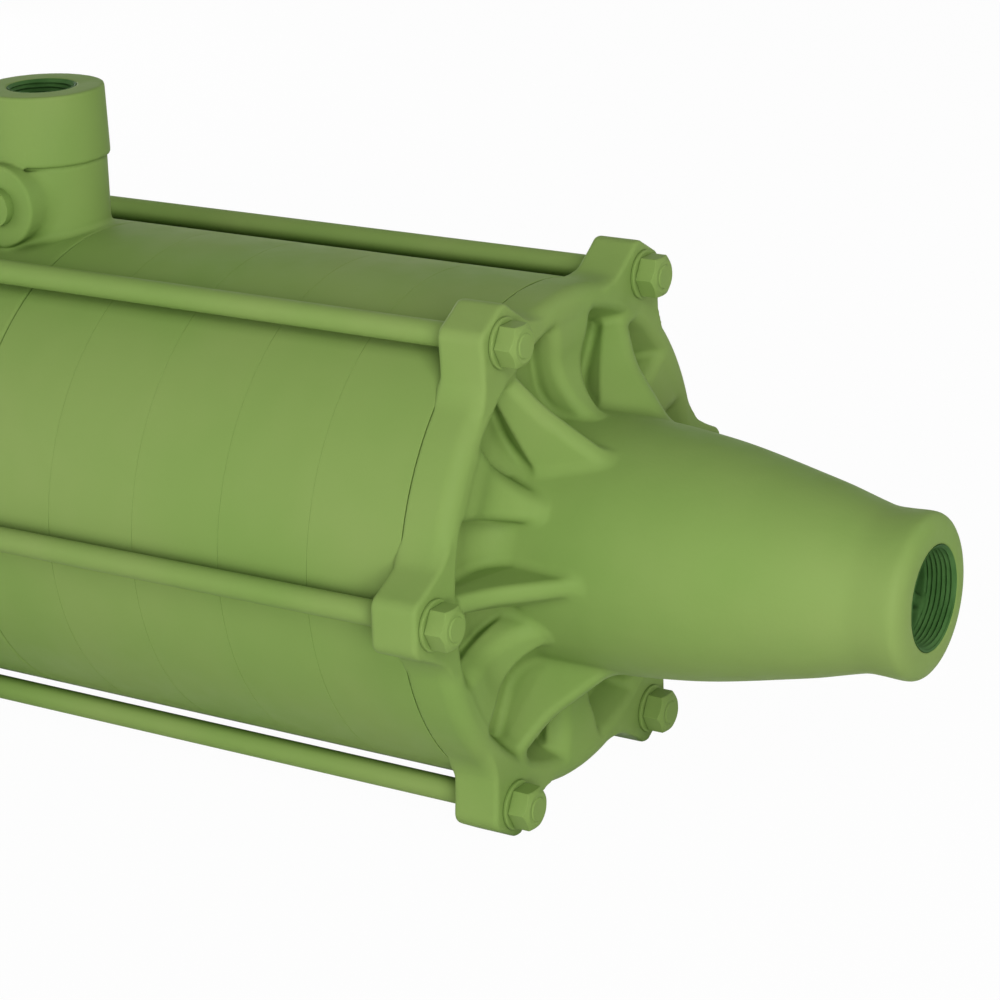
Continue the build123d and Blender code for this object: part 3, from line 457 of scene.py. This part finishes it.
def feet(grid):
    """Two feet: pads under upright webs."""
    side = np.abs(grid.y)
    pad = overlap(between(side, FOOT_INNER, FOOT_OUTER),
                  between(grid.z, SOLE_HEIGHT, SOLE_HEIGHT + FOOT_THICKNESS), rounding=2.0)
    pad = overlap(pad, between(grid.x, END_FACE, END_FACE + FOOT_LENGTH), rounding=2.0)
    web = overlap(between(side, FOOT_INNER, FOOT_WEB_OUTER),
                  between(grid.x, END_FACE, END_FACE + FOOT_WEB_THICKNESS))
    web = overlap(web, between(grid.z, SOLE_HEIGHT, FOOT_WEB_TOP), rounding=2.0)
    return union(pad, web, fillet=5.0)


def water_and_seal_way(grid):
    """Room behind the last stage, with the hole of the shaft and the seal chamber."""
    return grid.turned(polygon(
        (LAST_SEAM + 6, 0), (LAST_SEAM + 6, STAGE_BORE), (WATER_REAR, STAGE_BORE),
        (WATER_REAR, SHAFT_HOLE_RADIUS), (SEAL_CHAMBER_FRONT, SHAFT_HOLE_RADIUS),
        (SEAL_CHAMBER_FRONT, SEAL_CHAMBER_RADIUS), (SEAL_COVER_FACE, SEAL_CHAMBER_RADIUS),
        (SEAL_COVER_FACE, 0)))


def port_way(grid, from_port):
    """Threaded bore and passage of the port, with the splitter left standing."""
    splitter_top = PORT_TOP - PORT_DEPTH
    way = np.where(grid.z > splitter_top, from_port - PORT_BORE, from_port - PORT_PASSAGE)
    splitter = np.maximum(np.abs(grid.x - PORT_X) - SPLITTER_HALF, grid.z - splitter_top)
    return np.maximum(cut(way, splitter), PORT_FLOOR - grid.z)


def bracket_screw_holes(grid, radius):
    """Holes of the bracket's screws, as one field along the shaft."""
    across, up = grid.folded(BRACKET_SCREW_COUNT, 180 / BRACKET_SCREW_COUNT)
    return np.hypot(across, up - BRACKET_SCREW_CIRCLE) - radius


def discharge_holes(grid):
    """Water ways, seal chamber, and the holes of the plugs, the feet, the screws and the rods."""
    from_port = np.hypot(grid.x - PORT_X, grid.y)
    gauge = np.hypot(grid.x - PORT_X, grid.z - BOSS_HEIGHT) - PLUG_HOLE_RADIUS
    foot = np.hypot(grid.x - FOOT_HOLE_X, np.abs(grid.y) - FOOT_HOLE_Y) - FOOT_HOLE_RADIUS
    screws = bracket_screw_holes(grid, SCREW_HOLE_RADIUS)
    return [water_and_seal_way(grid),
            port_way(grid, from_port),
            np.maximum(gauge, grid.y + BOSS_FACE - PLUG_HOLE_DEPTH),
            np.maximum(from_port - PLUG_HOLE_RADIUS, grid.z - DRAIN_HOLE_TOP),
            np.maximum(screws, grid.x - (END_FACE + SCREW_HOLE_DEPTH)),
            np.maximum(foot, grid.z - SOLE_HEIGHT - FOOT_HOLE_DEPTH),
            rod_holes(grid)]


def discharge_casing():
    """Rear casing: drum, port with its neck and collar, gauge boss, lugs and feet."""
    side = LUG_OUTER_RADIUS + 4.5
    grid = Grid((END_FACE - 12, -side, SOLE_HEIGHT - 4.5), (LAST_SEAM + 4, side, PORT_TOP + 4))
    drum = grid.turned(polygon(
        (LAST_SEAM, 0), (LAST_SEAM, STAGE_RADIUS), (END_FACE, STAGE_RADIUS), (END_FACE, 0)))
    drum = overlap(drum, between(grid.x, END_FACE, LAST_SEAM), rounding=2.5)
    body = union(port_and_boss(grid, drum), lugs(grid, END_FACE, END_FACE + LUG_LENGTH),
                 fillet=3.0)
    body = union(body, feet(grid), fillet=4.0)
    body = np.maximum(body, SOLE_HEIGHT - grid.z)
    spigot_end, boss_end = END_FACE - BRACKET_SPIGOT_LENGTH, END_FACE - SEAL_BOSS_LENGTH
    spigot = grid.turned(polygon(
        (END_FACE + 1, 0), (END_FACE + 1, BRACKET_SPIGOT_RADIUS),
        (spigot_end, BRACKET_SPIGOT_RADIUS), (spigot_end, SEAL_BOSS_RADIUS),
        (boss_end, SEAL_BOSS_RADIUS), (boss_end, 0)))
    body = np.minimum(body, spigot)
    for hole in discharge_holes(grid):
        body = cut(body, hole)
    return surface("discharge_casting", grid, body)


def bearing_bracket():
    """Lantern with two windows and the bearing housing."""
    side = FLANGE_RADIUS + 4
    grid = Grid((BEARING_COVER_SEAT - 4, -side, -side), (END_FACE + 4, side, side))
    flange_rear = END_FACE - FLANGE_THICKNESS
    flange = polygon((END_FACE, 0), (END_FACE, FLANGE_RADIUS), (flange_rear, FLANGE_RADIUS),
                     (flange_rear, 0))
    lantern = polygon((END_FACE - 1, 0), (END_FACE - 1, LANTERN_FRONT_RADIUS),
                      (LANTERN_REAR, LANTERN_REAR_RADIUS), (LANTERN_REAR, 0))
    housing = grid.turned(polygon(
        (LANTERN_REAR + 2, 0), (LANTERN_REAR + 2, HOUSING_RADIUS),
        (BEARING_COVER_SEAT, HOUSING_RADIUS), (BEARING_COVER_SEAT, 0)))
    rim = grid.turned(polygon(
        (HOUSING_RIM_FRONT, 0), (HOUSING_RIM_FRONT, HOUSING_RIM_RADIUS),
        (BEARING_COVER_SEAT, HOUSING_RIM_RADIUS), (BEARING_COVER_SEAT, 0)))
    body = grid.turned(lambda x, r: union(flange(x, r), lantern(x, r), fillet=5.0))
    body = union(union(body, housing, fillet=4.0), rim, fillet=3.0)
    body = overlap(body, between(grid.x, BEARING_COVER_SEAT, END_FACE), rounding=1.5)
    bore = grid.turned(polygon(
        (END_FACE + 12, 0), (END_FACE + 12, FLANGE_BORE), (flange_rear, FLANGE_BORE),
        (LANTERN_REAR, LANTERN_REAR_BORE), (LANTERN_REAR, HOUSING_WALL_BORE),
        (BEARING_SEAT, HOUSING_WALL_BORE), (BEARING_SEAT, BEARING_BORE),
        (BEARING_COVER_SEAT - 9, BEARING_BORE), (BEARING_COVER_SEAT - 9, 0)))
    window = overlap(between(grid.x, WINDOW_REAR, WINDOW_FRONT),
                     between(grid.z, -WINDOW_HALF, WINDOW_HALF), rounding=8.0)
    body = cut(cut(body, bore), window, rounding=1.5)
    body = cut(body, bracket_screw_holes(grid, SCREW_CLEARANCE_RADIUS))
    return surface("bracket_casting", grid, body)


# Turned and machined pieces

def from_faces(name, vertices, faces, sharp=SHARP_ANGLE):
    """Piece from vertices and faces, smooth apart from its sharp edges."""
    mesh = bpy.data.meshes.new(name)
    mesh.from_pydata(vertices, [], faces)
    cleaned(mesh)
    mesh.shade_smooth()
    mesh.set_sharp_from_angle(angle=radians(sharp))
    return added(name, mesh)


def cleaned(mesh):
    """Weld the vertices that meet, and turn all faces outwards."""
    work = bmesh.new()
    work.from_mesh(mesh)
    bmesh.ops.remove_doubles(work, verts=work.verts, dist=1e-7)
    bmesh.ops.recalc_face_normals(work, faces=work.faces)
    work.to_mesh(mesh)
    work.free()


def lathe(name, ring, segments):
    """Closed outline of (x, radius) points turned about the shaft axis."""
    angles = np.arange(segments) * 2 * pi / segments
    vertices = [(x * MM, -r * MM * sin(a), r * MM * cos(a)) for x, r in ring for a in angles]
    faces = []
    for i in range(len(ring)):
        j = (i + 1) % len(ring)
        if ring[i][1] == 0 and ring[j][1] == 0:
            continue
        for k in range(segments):
            m = (k + 1) % segments
            faces.append((i * segments + k, j * segments + k, j * segments + m, i * segments + m))
    return from_faces(name, vertices, faces)


def stage_casing(i):
    """Ring of one stage, with fine bevels where it meets its neighbours."""
    front = FIRST_SEAM - i * STAGE_PITCH
    rear = front - STAGE_PITCH
    ring = [(front, STAGE_BORE), (front, STAGE_RADIUS - SEAM_BEVEL),
            (front - SEAM_BEVEL, STAGE_RADIUS), (rear + SEAM_BEVEL, STAGE_RADIUS),
            (rear, STAGE_RADIUS - SEAM_BEVEL), (rear, SPIGOT_RADIUS),
            (rear - SPIGOT_LENGTH, SPIGOT_RADIUS), (rear - SPIGOT_LENGTH, EYE_RADIUS),
            (rear + STAGE_WEB, EYE_RADIUS), (rear + STAGE_WEB, STAGE_BORE)]
    return lathe(f"stage_ring_{i + 1}", ring, segments=240)


def ringed(levels, seat, direction, centre, turn=0.0, segments=60):
    """Vertices and faces of a closed piece about an axis along X. A level is a distance from the
    seat and a radius, either of them a number or one value for each segment."""
    angle = np.arange(segments) * 2 * pi / segments + radians(turn)
    vertices = []
    for away, r in levels:
        x = seat + direction * np.broadcast_to(away, segments)
        vertices += list(zip(x * MM, (centre[0] + r * np.sin(angle)) * MM,
                             (centre[1] + r * np.cos(angle)) * MM))
    faces = []
    for level in range(len(levels)):
        above = (level + 1) % len(levels)
        for k in range(segments):
            m = (k + 1) % segments
            faces.append((level * segments + k, above * segments + k, above * segments + m,
                          level * segments + m))
    return vertices, faces


def together(pieces):
    """One list of vertices and one of faces from several pairs of them."""
    vertices, faces = [], []
    for more, shape in pieces:
        faces += [tuple(len(vertices) + i for i in face) for face in shape]
        vertices += more
    return vertices, faces


def hexagon(across_flats, segments=60):
    """Radius of a hexagon at each segment, with a flat in the middle of the first sixth."""
    angle = np.arange(segments) * 2 * pi / segments
    return across_flats / 2 / np.cos((angle + pi / 6) % (pi / 3) - pi / 6)


def nut(seat, direction, centre, turn):
    """Hexagon nut with a chamfered face, close round its rod."""
    bore, flats = ROD_RADIUS - BORE_OVERLAP, hexagon(NUT_ACROSS_FLATS)
    face = NUT_ACROSS_FLATS / 2 * NUT_FACE_SHARE
    drop = (flats - face) * tan(radians(30))
    return ringed([(0, bore), (0, flats), (NUT_HEIGHT - drop, flats), (NUT_HEIGHT, face),
                   (NUT_HEIGHT, bore)], seat, direction, centre, turn)


def washer(seat, direction, centre):
    """Plain washer with a worn edge."""
    bore, edge = ROD_RADIUS - BORE_OVERLAP, 0.5
    return ringed([(0, bore), (0, WASHER_RADIUS), (WASHER_THICKNESS - edge, WASHER_RADIUS),
                   (WASHER_THICKNESS, WASHER_RADIUS - edge), (WASHER_THICKNESS, bore)],
                  seat, direction, centre)


def cap_screws(name, face, circle, count, radius):
    """Socket heads of the small screws on a cover, facing the drive end."""
    height, edge, depth = radius * 1.15, radius * 0.1, radius * 0.6
    socket = hexagon(radius)
    levels = [(0, 0), (0, radius), (height - edge, radius), (height, radius - edge),
              (height, socket), (height - depth, socket), (height - depth, 0)]
    angles = [2 * pi * (i + 0.5) / count for i in range(count)]
    return from_faces(name, *together(
        ringed(levels, face, -1, (circle * sin(a), circle * cos(a))) for a in angles))


def thread_sleeve(name, length, bore, root):
    """Pipe thread in a bore that opens at the origin towards +X. The first turn fades in."""
    segments, rows_per_turn = 96, 8
    rows = int(length / PIPE_PITCH * rows_per_turn)
    turn = np.arange(segments) / segments
    levels = [(length, bore + SLEEVE_IN_WALL), (0, bore + SLEEVE_IN_WALL)]
    for row in range(rows + 1):
        depth = length * row / rows
        wave = np.abs((depth / PIPE_PITCH - turn) % 1 - 0.5) * 2
        thread = root - PIPE_THREAD_DEPTH * (1 - wave)
        levels.append((depth, np.maximum(thread, root + 0.3 - depth)))
    return from_faces(name, *ringed(levels, 0, -1, (0, 0), 0, segments), sharp=50)


def rod_places():
    """(y, z) of the tie rods, in millimetres."""
    angles = [radians(360 * (i + 0.5) / ROD_COUNT) for i in range(ROD_COUNT)]
    return [(-ROD_CIRCLE * sin(a), ROD_CIRCLE * cos(a)) for a in angles]


def tie_rod_nuts(name, seat, direction):
    """Six nuts on washers against the lugs of one casing."""
    pieces = []
    for i, place in enumerate(rod_places()):
        turn = 30 - 360 * (i + 0.5) / ROD_COUNT
        pieces.append(washer(seat, direction, place))
        pieces.append(nut(seat + direction * WASHER_THICKNESS, direction, place, turn))
    thing = from_faces(name, *together(pieces), sharp=25)
    softened(thing, NUT_WEAR)
    return thing


def softened(thing, width):
    """Small rounding on the sharp edges of a piece."""
    edges = thing.modifiers.new("worn_edges", "BEVEL")
    edges.width = width * MM
    edges.segments = 2
    edges.limit_method = "ANGLE"
    edges.angle_limit = radians(SHARP_ANGLE)
    edges.harden_normals = True


def tie_rod(i, place):
    """Rod with two chamfered ends, the front one threaded."""
    front, rear = RIM_FACE + ROD_PAST_LUG, END_FACE - ROD_PAST_LUG
    tip, root = ROD_RADIUS - ROD_CHAMFER, ROD_RADIUS - ROD_THREAD_DEPTH
    line = [(front, 0), (front, tip), (front - ROD_CHAMFER, ROD_RADIUS)]
    for k in range(ROD_THREAD_TURNS):
        x = front - ROD_CHAMFER - ROD_PITCH * (k + 0.5)
        line += [(x, root), (x - ROD_PITCH / 2, ROD_RADIUS)]
    line += [(front - ROD_PLAIN_FROM, ROD_RADIUS), (rear + ROD_CHAMFER, ROD_RADIUS), (rear, tip),
             (rear, 0)]
    thing = lathe(f"rod_{i + 1}", line, segments=48)
    thing.data.transform(Matrix.Translation(Vector((0, *place)) * MM))
    return thing


# Materials

PAINT_TONES = ((0.25, (0.200, 0.325, 0.076)), (0.5, (0.228, 0.340, 0.090)),
               (0.8, (0.262, 0.355, 0.108)))
# Dark greens painted into the bores of the mouth and the port: painted shade
BORE_SHADE_TONES = ((0.35, (0.040, 0.110, 0.026)), (0.65, (0.065, 0.155, 0.042)))
# Multipliers on the paint by ambient occlusion in corners and hollows: painted shade
CORNER_SHADE_TONES = ((0.15, (0.45, 0.52, 0.38)), (0.75, (1.0, 1.0, 1.0)))
RUBBER_TONES = ((0.3, (0.018, 0.018, 0.019)), (0.7, (0.032, 0.032, 0.033)))
FLOOR_TONES = ((0.3, (0.66, 0.66, 0.66)), (0.7, (0.7, 0.7, 0.7)))
# How far the painted corner shade reaches, in metres
CORNER_SHADE_REACH = 0.012
FLOOR_GLOW = 0.975


def node_tree(name):
    """Empty node material and its tree."""
    material = bpy.data.materials.new(name)
    material.use_nodes = True
    tree = material.node_tree
    tree.nodes.clear()
    return material, tree


def noise(tree, scale, detail=4.0, roughness=0.5):
    """Noise over the object's own coordinates, in metres."""
    place = tree.nodes.new("ShaderNodeTexCoord")
    node = tree.nodes.new("ShaderNodeTexNoise")
    node.inputs["Scale"].default_value = scale
    node.inputs["Detail"].default_value = detail
    node.inputs["Roughness"].default_value = roughness
    tree.links.new(place.outputs["Object"], node.inputs["Vector"])
    return node.outputs["Fac"]


def vector_math(tree, operation, first, second=None):
    """Vector node of an operation on a linked vector, with a fixed second vector."""
    node = tree.nodes.new("ShaderNodeVectorMath")
    node.operation = operation
    tree.links.new(first, node.inputs[0])
    if second is not None:
        node.inputs[1].default_value = second
    return node.outputs["Value" if operation == "LENGTH" else "Vector"]


def value_math(tree, operation, first, second):
    """Number node of an operation on a linked value, with a fixed or a linked second value."""
    node = tree.nodes.new("ShaderNodeMath")
    node.operation = operation
    tree.links.new(first, node.inputs[0])
    if isinstance(second, float):
        node.inputs[1].default_value = second
    else:
        tree.links.new(second, node.inputs[1])
    return node.outputs[0]


def in_painted_bore_shade(tree):
    """One within the bores of the mouth and the port, where a darker colour stands in for their
    shade.
    """
    place = tree.nodes.new("ShaderNodeTexCoord").outputs["Object"]
    from_shaft = vector_math(tree, "LENGTH", vector_math(tree, "MULTIPLY", place, (0, 1, 1)))
    mouth = value_math(tree, "LESS_THAN", from_shaft, (MOUTH_BORE + 0.3) * MM)
    shifted = vector_math(tree, "SUBTRACT", place, (PORT_X * MM, 0, 0))
    from_port = vector_math(tree, "LENGTH", vector_math(tree, "MULTIPLY", shifted, (1, 1, 0)))
    split = tree.nodes.new("ShaderNodeSeparateXYZ")
    tree.links.new(place, split.inputs[0])
    high = value_math(tree, "GREATER_THAN", split.outputs["Z"], (PORT_FLOOR - 6) * MM)
    within = value_math(tree, "LESS_THAN", from_port, (PORT_BORE + 0.4) * MM)
    return value_math(tree, "MAXIMUM", mouth, value_math(tree, "MULTIPLY", within, high))


def ramp(tree, source, *stops):
    """Colour ramp over a value: (position, colour) stops."""
    node = tree.nodes.new("ShaderNodeValToRGB")
    while len(node.color_ramp.elements) < len(stops):
        node.color_ramp.elements.new(0.5)
    for element, (position, colour) in zip(node.color_ramp.elements, stops):
        element.position = position
        element.color = (*colour, 1)
    tree.links.new(source, node.inputs["Fac"])
    return node.outputs["Color"]


def spread(tree, source, low, high):
    """Value stretched from 0.3 to 0.7 into a range."""
    node = tree.nodes.new("ShaderNodeMapRange")
    node.inputs["From Min"].default_value = 0.3
    node.inputs["From Max"].default_value = 0.7
    node.inputs["To Min"].default_value = low
    node.inputs["To Max"].default_value = high
    tree.links.new(source, node.inputs["Value"])
    return node.outputs["Result"]


def bump(tree, source, height, normal=None):
    """Bump of a height in metres, over another bump if there is one."""
    node = tree.nodes.new("ShaderNodeBump")
    node.inputs["Strength"].default_value = 1.0
    node.inputs["Distance"].default_value = height
    tree.links.new(source, node.inputs["Height"])
    if normal is not None:
        tree.links.new(normal, node.inputs["Normal"])
    return node.outputs["Normal"]


def shaded(tree, material, colour, roughness, normal, **fixed):
    """Principled shader with linked colour, roughness and normal, and fixed sockets."""
    shader = tree.nodes.new("ShaderNodeBsdfPrincipled")
    output = tree.nodes.new("ShaderNodeOutputMaterial")
    tree.links.new(colour, shader.inputs["Base Color"])
    tree.links.new(roughness, shader.inputs["Roughness"])
    tree.links.new(normal, shader.inputs["Normal"])
    for socket, value in fixed.items():
        shader.inputs[socket.replace("_", " ")].default_value = value
    tree.links.new(shader.outputs["BSDF"], output.inputs["Surface"])
    return material


def blended(tree, kind, share, first, second):
    """Mix of two linked colours, by a fixed or a linked share."""
    mix = tree.nodes.new("ShaderNodeMix")
    mix.data_type = "RGBA"
    mix.blend_type = kind
    if isinstance(share, float):
        mix.inputs["Factor"].default_value = share
    else:
        tree.links.new(share, mix.inputs["Factor"])
    for socket, colour in zip([s for s in mix.inputs if s.type == "RGBA"], (first, second)):
        tree.links.new(colour, socket)
    return next(s for s in mix.outputs if s.type == "RGBA")


def enamel(name, undulation, grain):
    """Green enamel over iron: slow changes of tone, painted shade in the corners and in the bores,
    and the surface's grain.
    """
    material, tree = node_tree(name)
    broad = noise(tree, 9.0, 3.0)
    fine = noise(tree, 420.0, 3.0, 0.6)
    waves = noise(tree, 70.0, 3.0)
    # Ambient occlusion darkens the colour in corners and hollows: painted shade
    painted_corner_shade = tree.nodes.new("ShaderNodeAmbientOcclusion")
    painted_corner_shade.inputs["Distance"].default_value = CORNER_SHADE_REACH
    painted_corner_shade.samples = 8
    colour = blended(tree, "MULTIPLY", 1.0, ramp(tree, broad, *PAINT_TONES),
                     ramp(tree, painted_corner_shade.outputs["AO"], *CORNER_SHADE_TONES))
    # Dark colour in the bores of the mouth and the port: painted shade
    colour = blended(tree, "MIX", in_painted_bore_shade(tree), colour, ramp(tree, waves, *BORE_SHADE_TONES))
    normal = bump(tree, fine, grain, bump(tree, waves, undulation))
    return shaded(tree, material, colour, spread(tree, waves, 0.5, 0.62), normal,
                  Specular_IOR_Level=0.06)


def metal(name, dark, light, roughness, scale=60.0, grain=0.00003):
    """Bare metal with a fine turned or cast grain."""
    material, tree = node_tree(name)
    broad = noise(tree, scale, 4.0)
    fine = noise(tree, 900.0, 2.0)
    colour = ramp(tree, broad, (0.3, dark), (0.7, light))
    return shaded(tree, material, colour, spread(tree, broad, roughness - 0.07, roughness + 0.07),
                  bump(tree, fine, grain), Metallic=1.0)


def rubber(name):
    """Black rubber."""
    material, tree = node_tree(name)
    fine = noise(tree, 500.0, 3.0)
    return shaded(tree, material, ramp(tree, fine, *RUBBER_TONES), spread(tree, fine, 0.6, 0.75),
                  bump(tree, fine, 0.00003))


def seen_or_mirrored(tree):
    """One for rays from the camera, and for those that metal and glass send on."""
    path = tree.nodes.new("ShaderNodeLightPath")
    value = path.outputs["Is Camera Ray"]
    for kind in ("Is Glossy Ray", "Is Transmission Ray"):
        value = value_math(tree, "MAXIMUM", value, path.outputs[kind])
    return value


def mixed_to_output(tree, kind, share, first, second):
    """Mix of two shader nodes, linked to an output node of a kind."""
    mix = tree.nodes.new("ShaderNodeMixShader")
    for source, socket in zip((share, first.outputs[0], second.outputs[0]), mix.inputs):
        tree.links.new(source, socket)
    tree.links.new(mix.outputs[0], tree.nodes.new(kind).inputs["Surface"])


def floor_material():
    """White floor: mostly plain white to the camera, with the object's soft shadow."""
    material, tree = node_tree("pale_floor")
    diffuse = tree.nodes.new("ShaderNodeBsdfDiffuse")
    tree.links.new(ramp(tree, noise(tree, 6.0), *FLOOR_TONES), diffuse.inputs["Color"])
    share = value_math(tree, "MULTIPLY", seen_or_mirrored(tree), FLOOR_GLOW)
    glow = tree.nodes.new("ShaderNodeEmission")
    mixed_to_output(tree, "ShaderNodeOutputMaterial", share, diffuse, glow)
    return material


def dress(thing, material, slot, *nodes):
    """Give a piece its material, and hide the CAD nodes that it stands for. The slot is not used.
    """
    thing.data.materials.clear()
    thing.data.materials.append(material)
    if nodes:
        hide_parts(*nodes)


# Scene, in metres and watts

WORLD_DIM = 0.15
FLOOR_HALF_SIZE = 9.0
SOFTBOX_SIZE = 0.8
SOFTBOX_TARGET = (-0.25, 0, 0)
SOFTBOXES = [("key", (1.29, -1.54, 0.306), 20),
             ("high", (1.024, -1.274, 1.262), 14),
             ("near_side", (0.311, -2.093, 0.382), 6.5),
             ("far_side", (-2.035, -1.25, 0.306), 8),
             ("far_high", (-1.406, -1.714, 0.752), 3.5),
             ("beyond", (0.975, 1.46, 1.1), 6),
             ("behind", (-2.15, 1.1, 0.19), 14)]


def make_world():
    """Even grey light, with white behind for the camera and in reflections."""
    world = bpy.data.worlds.new("studio")
    bpy.context.scene.world = world
    world.use_nodes = True
    tree = world.node_tree
    tree.nodes.clear()
    grounds = []
    for strength in (WORLD_DIM, 1.0):
        ground = tree.nodes.new("ShaderNodeBackground")
        ground.inputs["Color"].default_value = (1, 1, 1, 1)
        ground.inputs["Strength"].default_value = strength
        grounds.append(ground)
    mixed_to_output(tree, "ShaderNodeOutputWorld", seen_or_mirrored(tree), *grounds)


def softbox(name, place, power):
    """Square area light that faces the pump."""
    data = bpy.data.lights.new(name, "AREA")
    data.size = SOFTBOX_SIZE
    data.energy = power
    lamp = bpy.data.objects.new(name, data)
    bpy.context.collection.objects.link(lamp)
    lamp.location = place
    facing = Vector(SOFTBOX_TARGET) - Vector(place)
    lamp.rotation_euler = facing.to_track_quat("-Z", "Y").to_euler()


def make_camera():
    """Camera at the photograph's viewpoint."""
    data = bpy.data.cameras.new("camera")
    data.sensor_width = 36.0
    data.lens = 114.28
    data.shift_x = 0.0336
    data.shift_y = -0.1127
    data.clip_start = 0.05
    data.clip_end = 50.0
    camera = bpy.data.objects.new("camera", data)
    bpy.context.collection.objects.link(camera)
    right = Vector((0.84867, 0.52795, -0.03201))
    up = Vector((-0.12912, 0.26548, 0.95542))
    back = Vector((0.51292, -0.80671, 0.29348))
    turn = Matrix((right, up, back)).transposed().to_4x4()
    camera.matrix_world = Matrix.Translation((0.5354, -1.2244, 0.5109)) @ turn
    bpy.context.scene.camera = camera


def make_floor():
    """Large floor under the soles."""
    mesh = bpy.data.meshes.new("floor")
    half, z = FLOOR_HALF_SIZE, SOLE_HEIGHT * MM
    mesh.from_pydata([(-half, -half, z), (half, -half, z), (half, half, z), (-half, half, z)],
                     [], [(0, 1, 2, 3)])
    floor = bpy.data.objects.new("floor", mesh)
    bpy.context.collection.objects.link(floor)
    mesh.materials.append(floor_material())


def dress_cad_pieces(turned):
    """Materials of the pieces that come from the CAD model, chosen by their slots in the record."""
    by_slot = {
        "green_paint": turned,
        "bright_steel": metal("ground_steel", (0.42, 0.43, 0.44), (0.58, 0.59, 0.6), 0.3),
        "bronze": metal("cast_bronze", (0.42, 0.28, 0.12), (0.58, 0.4, 0.19), 0.45, 40.0, 0.0001),
        "seal_face": metal("lapped_carbon", (0.05, 0.05, 0.055), (0.08, 0.08, 0.085), 0.35),
        "black_rubber": rubber("black_rubber")}
    for row in frame["record"]["subparts"]:
        node = frame["nodes"][row["node"]]
        dress(node, by_slot[row["material_slot"]], row["material_slot"])
    return by_slot["bright_steel"]


def make_threads(casting):
    """Pipe threads of the suction mouth and of the discharge port."""
    mouth = thread_sleeve("thread_of_mouth", MOUTH_DEPTH, MOUTH_BORE, MOUTH_THREAD_ROOT)
    dress(mouth, casting, "green_paint")
    port = thread_sleeve("thread_of_port", PORT_DEPTH, PORT_BORE, PORT_THREAD_ROOT)
    upright = Matrix.Rotation(radians(-90), 4, "Y")
    port.data.transform(Matrix.Translation((PORT_X * MM, 0, PORT_TOP * MM)) @ upright)
    dress(port, casting, "green_paint")


def main():
    casting = enamel("enamel_on_casting", 0.0004, 0.00005)
    turned = enamel("enamel_on_turned", 0.0001, 0.00002)
    steel = dress_cad_pieces(turned)
    dress(suction_casing(), casting, "green_paint", "suction_casing")
    dress(discharge_casing(), casting, "green_paint", "discharge_casing")
    dress(bearing_bracket(), casting, "green_paint", "bearing_bracket")
    for i in range(STAGE_COUNT):
        dress(stage_casing(i), turned, "green_paint", f"stage_casing_{i + 1}")
    for i, place in enumerate(rod_places()):
        dress(tie_rod(i, place), turned, "green_paint", f"tie_rod_{i + 1}")
    for end, seat, direction in (("suction", RIM_FACE, 1), ("discharge", END_FACE, -1)):
        nuts = tie_rod_nuts(f"nuts_{end}", seat, direction)
        dress(nuts, turned, "green_paint", f"tie_rod_nuts_{end}")
    on_bearing_cover = cap_screws("screws_of_bearing_cover", BEARING_COVER_FACE, circle=45.0,
                                  count=6, radius=4.5)
    dress(on_bearing_cover, steel, "bright_steel")
    on_seal_cover = cap_screws("screws_of_seal_cover", SEAL_COVER_FACE, circle=31.5, count=4,
                               radius=3.5)
    dress(on_seal_cover, steel, "bright_steel")
    make_threads(casting)
    make_floor()
    make_world()
    for name, place, power in SOFTBOXES:
        softbox(name, place, power)
    make_camera()
    bpy.context.scene.view_settings.view_transform = "Standard"


main()
